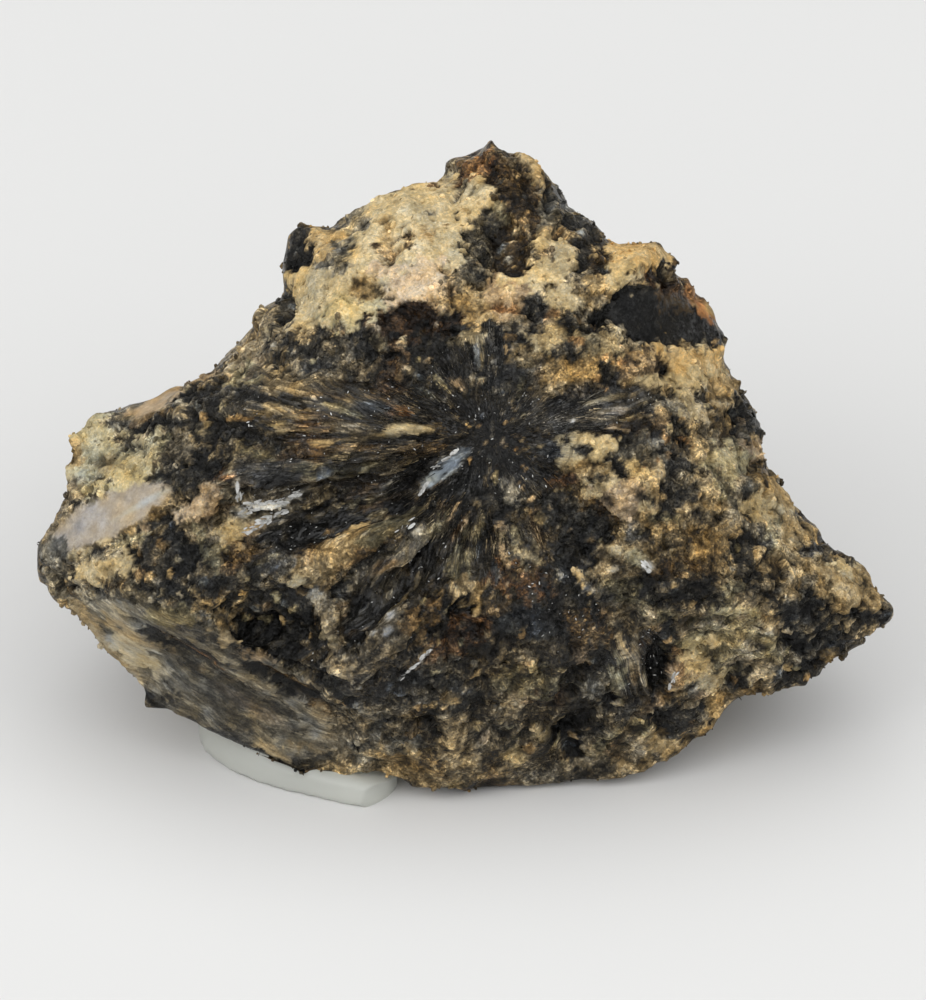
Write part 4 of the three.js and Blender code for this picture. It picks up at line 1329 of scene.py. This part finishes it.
def facet_height(f, place, size):
    """Height of small flat facets, each with its own tilt, in units of the facet's size."""
    colour = f.node("TexVoronoi", {}, {"Vector": place, "Scale": 1 / size}, "Color")
    middle = Output(f, colour.socket.node.outputs["Position"])
    tilt = f.node("VectorMath", {"operation": "SUBTRACT"}, {0: colour, 1: (0.5, 0.5, 0.5)})
    offset = f.node("VectorMath", {"operation": "SUBTRACT"}, {0: place, 1: middle})
    return f.node("VectorMath", {"operation": "DOT_PRODUCT"}, {0: tilt, 1: offset}, "Value") / size


def grain_shades(f, place, scale):
    """Three random shades from 0 to 1 for each small grain of a material."""
    colour = f.node("TexVoronoi", {}, {"Vector": place, "Scale": scale}, "Color")
    first = f.node("SeparateColor", {}, {0: colour})
    return [Output(f, socket) for socket in first.socket.node.outputs]


print("facets are", COARSE_FACET, "and", FINE_FACET, "mm wide")


# %% Stone finish
def stone_finish():
    """Every stone colour, from matt sugary grains to glossy needles."""
    f = Finish("crystal_rock")
    place = f.place()
    mineral = f.attribute("mineral", "Color")
    lightness = f.attribute("lightness")
    smooth = f.attribute("smoothness")
    streak = f.attribute("streak", "Vector")
    in_star = f.attribute("star")

    # Patterns: two kinds of noise, and grains of two sizes with wandering edges.
    crumb = f.noise(streak, 0.8, 5, 0.65)
    speck = f.noise(place, 9.0, 3, 0.6)
    drift = f.node("TexNoise", {}, {"Vector": streak, "Scale": 1.3}, "Color")
    moved = f.node("VectorMath", {"operation": "MULTIPLY_ADD"}, {0: drift, 1: (0.7, 0.7, 0.7), 2: streak})
    grain_tone, _, _ = grain_shades(f, moved, 1.0)
    small_tone, small_warmth, small_gloss = grain_shades(f, moved, 2.7)
    painted_glint_grain, _, _ = grain_shades(f, streak, 2.1)
    warmth = small_warmth + f.noise(place, 1.6, 2) - 1.0

    # Colour: dark and middling minerals vary more from grain to grain than pale ones. A few dark grains get
    # painted glints: their colour is brightened to stand for facets that catch the lamp. The power of two
    # makes a change of one a doubling of the light.
    mixed = f.step(lightness, 0.12, 0.3) * (1 - f.step(lightness, 0.42, 0.64))
    roughen = 1 - smooth * 0.7
    change = (grain_tone - 0.5) * 1.6 + (small_tone - 0.5) * 2.0 + (crumb - 0.5) * 3.0 + (speck - 0.5) * 4.0
    dark = 1 - f.step(lightness, 0.2, 0.4)
    painted_glint = f.step(painted_glint_grain, 0.90, 0.93) * dark * (in_star * 1.2 + 1.1)
    amount = 0.28 + mixed * 0.60 + dark * 0.55
    shift = 0.08 + mixed * 0.17 + dark * 0.42
    strength = f.math("POWER", 2.0, (change - shift) * amount * roughen + painted_glint)
    tint = f.mix(warmth * roughen + 0.5, (0.96, 1.0, 1.06), (1.06, 1.0, 0.86))
    mineral = f.node("VectorMath", {"operation": "MULTIPLY"}, {0: mineral, 1: tint})
    base = f.node("VectorMath", {"operation": "SCALE"}, {0: mineral, "Scale": strength})

    # Relief and gloss: pale minerals are matt, dark ones are faceted, and some dark grains shine.
    pale = f.step(lightness, 0.25, 0.55)
    facets = facet_height(f, place, COARSE_FACET) * 0.36 + facet_height(f, place, FINE_FACET) * 0.20
    relief = facets * (1 - pale * 0.5) + crumb * (0.14 - pale * 0.09) + speck * 0.11 + small_tone * 0.06
    bump = f.node("Bump", {}, {"Strength": 0.8, "Distance": 1.0 * MM, "Height": relief * roughen})
    rough = 0.24 + pale * 0.46
    shiny = f.step(small_gloss, 0.5, 0.6) * dark * (in_star * 0.5 + 0.1)
    surface = f.node("BsdfPrincipled", {}, {
        "Base Color": base, "Roughness": rough, "IOR": 1.5, "Specular IOR Level": 0.2,
        "Coat Weight": shiny, "Coat Roughness": 0.2, "Normal": bump,
    })
    return f.finish_with(surface)


stone_mesh.materials.append(stone_finish())
stone_mesh.polygons.foreach_set("use_smooth", np.ones(len(stone_mesh.polygons), bool))
stone = bpy.data.objects.new("stone", stone_mesh)
bpy.context.scene.collection.objects.link(stone)
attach(stone, "root")
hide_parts("rock")
print("stone finish:", len(stone_mesh.materials[0].node_tree.nodes), "nodes")

# %% [markdown]
# ## Loose grains, needles and flakes
#
# The surface of such a chip is never one skin: crumbs stick to it, needles stand off it, and thin flakes
# of mica catch the light. Each kind is one small shape that a bmesh operator builds, copied many times
# into one mesh, because thousands of separate objects would be slow. A copy sits on a point of the stone,
# its host, and takes the colour of that point.

# %% Copies of one small shape
PATTERN_STRETCH = np.array([1, 1, 2.5])
PATTERN_SHIFT = 40
COPY_SMOOTH = 0.4
COPY_TILT = 0.35
FRONT = 0.2
NO_LENGTH = 1e-9
random = np.random.default_rng(8)


def template(build):
    """Points and triangles of a shape that a bmesh operator builds."""
    shape = bmesh.new()
    build(shape)
    bmesh.ops.triangulate(shape, faces=shape.faces)
    bmesh.ops.recalc_face_normals(shape, faces=shape.faces)
    shape.verts.index_update()
    points = np.array([point.co for point in shape.verts])
    faces = np.array([[point.index for point in face.verts] for face in shape.faces])
    shape.free()
    return points, faces


def unit(vectors, spare=0.0):
    """The vectors at a length of one. A little to spare keeps a vector of no length from an error."""
    return vectors / (np.linalg.norm(vectors, axis=-1, keepdims=True) + spare)


def frames_along(directions, normals):
    """For each copy a set of axes: across its direction, away from the stone, and along its direction."""
    along = unit(directions - np.sum(directions * normals, 1, keepdims=True) * normals, NO_LENGTH)
    across = np.cross(normals, along)
    return np.stack([across, normals, along], axis=1)


def strewn(name, shape, places, axes, sizes, hosts, contrast, material):
    """One mesh of many copies of a shape, each of which takes the colour of its host point."""
    points, faces = shape
    copies = len(places)
    moved = np.einsum("ij,nj,njk->nik", points, sizes, axes) + places[:, None]
    joined_faces = faces[None] + np.arange(copies)[:, None, None] * len(points)
    inside = np.clip(from_face(moved.reshape(-1, 3)), rock_low, rock_high)
    mesh = bpy.data.meshes.new(name)
    mesh.from_pydata(inside, [], joined_faces.reshape(-1, 3))
    each = np.repeat(np.arange(copies), len(points))
    change = np.exp(contrast * (random.random(copies) * 2 - 1))[each, None]
    shift = random.random((copies, 3))[each] * PATTERN_SHIFT
    local = (points[None] * PATTERN_STRETCH).repeat(copies, 0).reshape(-1, 3)
    set_attribute(mesh, "mineral", mineral_colour[hosts][each] * change, "FLOAT_VECTOR")
    set_attribute(mesh, "streak", local + shift, "FLOAT_VECTOR")
    set_attribute(mesh, "smoothness", np.full(len(each), COPY_SMOOTH))
    set_attribute(mesh, "lightness", light[hosts][each])
    set_attribute(mesh, "star", star[hosts][each])
    thing = bpy.data.objects.new(name, mesh)
    bpy.context.scene.collection.objects.link(thing)
    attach(thing, "root")
    mesh.materials.append(material)
    print(name, copies, "copies,", len(joined_faces.reshape(-1, 3)), "triangles")


crumb_shape = template(partial(bmesh.ops.create_icosphere, subdivisions=1, radius=1))
print("a crumb has", len(crumb_shape[1]), "triangles")

# %% [markdown]
# ## Crumbs
#
# A crumb is an icosphere of twenty faces, stretched by a different amount along each of three skewed
# axes, so that no two are alike. Most are tiny and a few are large. None lies at the foot or on the top
# tip, where it would spoil the outline.

# %% Crumbs
CRUMB_RADIUS = 0.06
CRUMB_SPREAD = 0.12
CRUMB_RISE = 0.15
CRUMB_CONTRAST = 0.7
CRUMBS_FROM = 0.4
CRUMBS_BELOW = 13.5


def strew_crumbs(count):
    """Angular crumbs all over the matrix."""
    matrix = (star < 0.6) & (smooth < 0.3)
    matrix &= (height > CRUMBS_FROM) & (face_points[:, 1] < CRUMBS_BELOW)
    hosts = random.choice(np.flatnonzero(matrix), count, replace=False)
    size = CRUMB_RADIUS + CRUMB_SPREAD * random.random(count) ** 2.5
    sizes = size[:, None] * (0.6 + 0.8 * random.random((count, 3)))
    axes = unit(frames_along(random.normal(size=(count, 3)), random.normal(size=(count, 3)) + 1e-3))
    places = shaped_points[hosts] + face_normals[hosts] * (CRUMB_RISE * size)[:, None]
    strewn("crumbs", crumb_shape, places, axes, sizes, hosts, CRUMB_CONTRAST, stone_mesh.materials[0])


strew_crumbs(count=3000)

# %% [markdown]
# ## Needles
#
# The star is a bundle of loose-ended fibres. The relief of the mesh is too coarse for the finest of them,
# so thin five-sided cones are laid over it near the centre, where the eye goes first. They are finer and
# shorter the nearer they lie to the centre.

# %% Needles
NEEDLE_WIDTHS = (0.015, 0.04)
NEEDLE_LENGTHS = (0.10, 0.4)
NEEDLE_REACH = 5.5
NEEDLE_DARK = 0.34
NEEDLE_STRAY = 0.08
NEEDLE_CONTRAST = 1.4
needle_shape = template(partial(
    bmesh.ops.create_cone, cap_ends=True, segments=5, radius1=1.0, radius2=0.3, depth=2.0))


def strew_needles(count):
    """Fine needles that all point at the star's centre and lie almost flat on the face."""
    _, distance = polar(shaped_points)
    flat = np.array([1, 1, 0])
    fibrous = (star > IN_STAR) & (face_normals[:, 2] > FRONT)
    fibrous &= (light < NEEDLE_DARK) & (distance < NEEDLE_REACH)
    hosts = random.choice(np.flatnonzero(fibrous), count)
    place = shaped_points[hosts] + NEEDLE_STRAY * random.normal(size=(count, 3)) * flat
    distance = distance[hosts]
    aim = unit(place, NO_LENGTH) * flat + NEEDLE_STRAY * random.normal(size=(count, 3))
    tipped = unit(face_normals[hosts] + COPY_TILT * random.normal(size=(count, 3)))
    axes = frames_along(aim, tipped)
    width = np.clip(0.010 + 0.004 * distance, *NEEDLE_WIDTHS) * (0.6 + 0.8 * random.random(count))
    length = np.clip(0.08 + 0.05 * distance, *NEEDLE_LENGTHS) * (0.4 + 0.9 * random.random(count))
    sizes = np.stack([width, width * 0.7, length], 1)
    places = place + tipped * (0.3 * width)[:, None]
    strewn(
        "star_needles", needle_shape, places, axes, sizes, hosts, NEEDLE_CONTRAST, stone_mesh.materials[0])


strew_needles(count=3600)

# %% [markdown]
# ## Mica
#
# Mica splits into thin, bright plates. One stack of silvery plates lies left of the star, smaller ones lie
# around it, and single plates are scattered through the dark needles. Painted on, they would stay dull, so
# each is a thin six-sided disc, tipped its own way to catch the lamp. A patch's amount is now the number
# of its plates.

# %% Mica flakes
LONGEST_PLATE = 0.30
PLATE_RISE = 0.04
PLATE_CONTRAST = 0.2
SINGLE_PLATE = 0.03
SINGLE_SPREAD = 0.06
MICA_STACKS = [
    Patch(-10.9, -3.05, 1.0, 0.10, 34, 3), Patch(-9.8, -2.8, 0.6, 0.07, 16, 22),
    Patch(-11.6, -3.35, 0.4, 0.15, 14, 20), Patch(-10.6, -3.7, 0.9, 0.14, 18, 22),
    Patch(-11.5, -4.25, 0.8, 0.12, 12, 25), Patch(-12.15, -2.5, 0.05, 0.45, 12, 5),
    Patch(-3.6, -10.65, 1.1, 0.02, 16, 44), Patch(-4.2, -4.2, 0.7, 0.2, 4, 38),
    Patch(7.4, -6.1, 0.25, 0.15, 10, -40), Patch(3.85, 0.85, 0.05, 0.05, 3, 30),
    Patch(8.7, -11.6, 0.1, 0.4, 10, -10), Patch(-2.3, -0.95, 0.7, 0.03, 8, 35),
    Patch(-3.3, -2.3, 0.3, 0.03, 5, 50),
]


def mica_finish():
    """Silvery plates, clouded from dark grey to white."""
    f = Finish("mica")
    silver = f.mix(f.noise(f.place(), 5.0, 4), srgb(70, 68, 64), srgb(250, 250, 246))
    surface = f.node("BsdfPrincipled", {}, {"Base Color": silver, "Roughness": 0.22, "IOR": 1.58})
    return f.finish_with(surface)


flake_shape = template(partial(
    bmesh.ops.create_cone, cap_ends=True, segments=6, radius1=1.0, radius2=0.9, depth=0.2))


def strew_mica(scattered):
    """Plates in the stacks, and single plates among the needles."""
    front = np.flatnonzero(face_normals[:, 2] > FRONT)
    hosts, lengths, turns = [], [], []
    for stack in MICA_STACKS:
        turn = math.radians(stack.turn)
        for _ in range(stack.amount):
            along = stack.long * (2 * random.random() - 1)
            aside = stack.wide * (2 * random.random() - 1)
            right = stack.right + along * math.cos(turn) - aside * math.sin(turn)
            up = stack.up + along * math.sin(turn) + aside * math.cos(turn)
            offset = shaped_points[front, :2] - np.array([right, up])
            hosts.append(front[np.argmin(np.hypot(*offset.T))])
            longest = min(LONGEST_PLATE, max(stack.long, stack.wide))
            lengths.append(longest * (0.3 + 0.7 * random.random()))
            turns.append(turn if stack.long > stack.wide else turn + math.pi / 2)
    dark = np.flatnonzero((star > 0.4) & (light < 0.3) & (face_normals[:, 2] > FRONT))
    hosts = np.array(hosts + list(random.choice(dark, scattered, replace=False)))
    lengths = np.array(lengths + list(SINGLE_PLATE + SINGLE_SPREAD * random.random(scattered) ** 2))
    turns = np.array(turns + list(2 * math.pi * random.random(scattered)))
    tipped = unit(face_normals[hosts] + COPY_TILT * random.normal(size=(len(hosts), 3)))
    direction = np.stack([np.cos(turns), np.sin(turns), 0 * turns], 1)
    across, away, along = np.moveaxis(frames_along(direction, tipped), 1, 0)
    axes = np.stack([along, across, away], axis=1)
    sizes = np.stack([lengths, lengths * 0.35, lengths * 0.25], 1)
    places = shaped_points[hosts] + tipped * PLATE_RISE
    strewn("mica_flakes", flake_shape, places, axes, sizes, hosts, PLATE_CONTRAST, mica_finish())


strew_mica(scattered=260)

# %% [markdown]
# ## The gel
#
# Clear mounting gel is soft and cloudy, with a wet shine. Its mesh is an evened, smoothed copy of the
# packed lump with rounded corners. Light is half let through, half scattered back, and absorbed a little
# on its way. These are plain values on the shader's own sockets, because an exported model keeps those.

# %% Gel
GEL_CELL = 0.2
CORNER = 3


def gel_finish():
    """Pale grey-green gel, by plain transmission and absorption values."""
    f = Finish("clear_gel")
    surface = f.node("BsdfPrincipled", {}, {
        "Base Color": (0.93, 0.95, 0.88, 1), "Roughness": 0.3, "IOR": 1.4, "Transmission Weight": 0.55,
    })
    absorption = f.node("VolumeAbsorption", {}, {"Color": (*srgb(198, 208, 182), 1), "Density": 2.0})
    return f.finish_with(surface, absorption)


def rounded_plan(places, low, high):
    """Places with the corners of their plan drawn in, as soft gel rounds itself."""
    middle, half = (low + high) / 2, (high - low) / 2
    reach = np.linalg.norm((places - middle)[:, :2] / half[:2], CORNER, axis=1)
    drawn = places.copy()
    drawn[:, :2] = middle[:2] + (places - middle)[:, :2] / np.maximum(reach, 1)[:, None]
    return drawn


def build_gel():
    """The gel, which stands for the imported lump."""
    mesh = even_mesh("mounting_gel", GEL_CELL, smoothing=14)
    places, _ = point_data(mesh)
    low, high = np.array(gel_low), np.array(gel_high)
    places = rounded_plan(np.clip(from_face(places), low, high), low, high)
    mesh.vertices.foreach_set("co", places.ravel())
    mesh.polygons.foreach_set("use_smooth", np.ones(len(mesh.polygons), bool))
    mesh.materials.append(gel_finish())
    gel = bpy.data.objects.new("gel_lump", mesh)
    bpy.context.scene.collection.objects.link(gel)
    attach(gel, "root")
    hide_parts("mounting_gel")
    return gel


gel = build_gel()
print("gel:", len(gel.data.polygons), "faces")
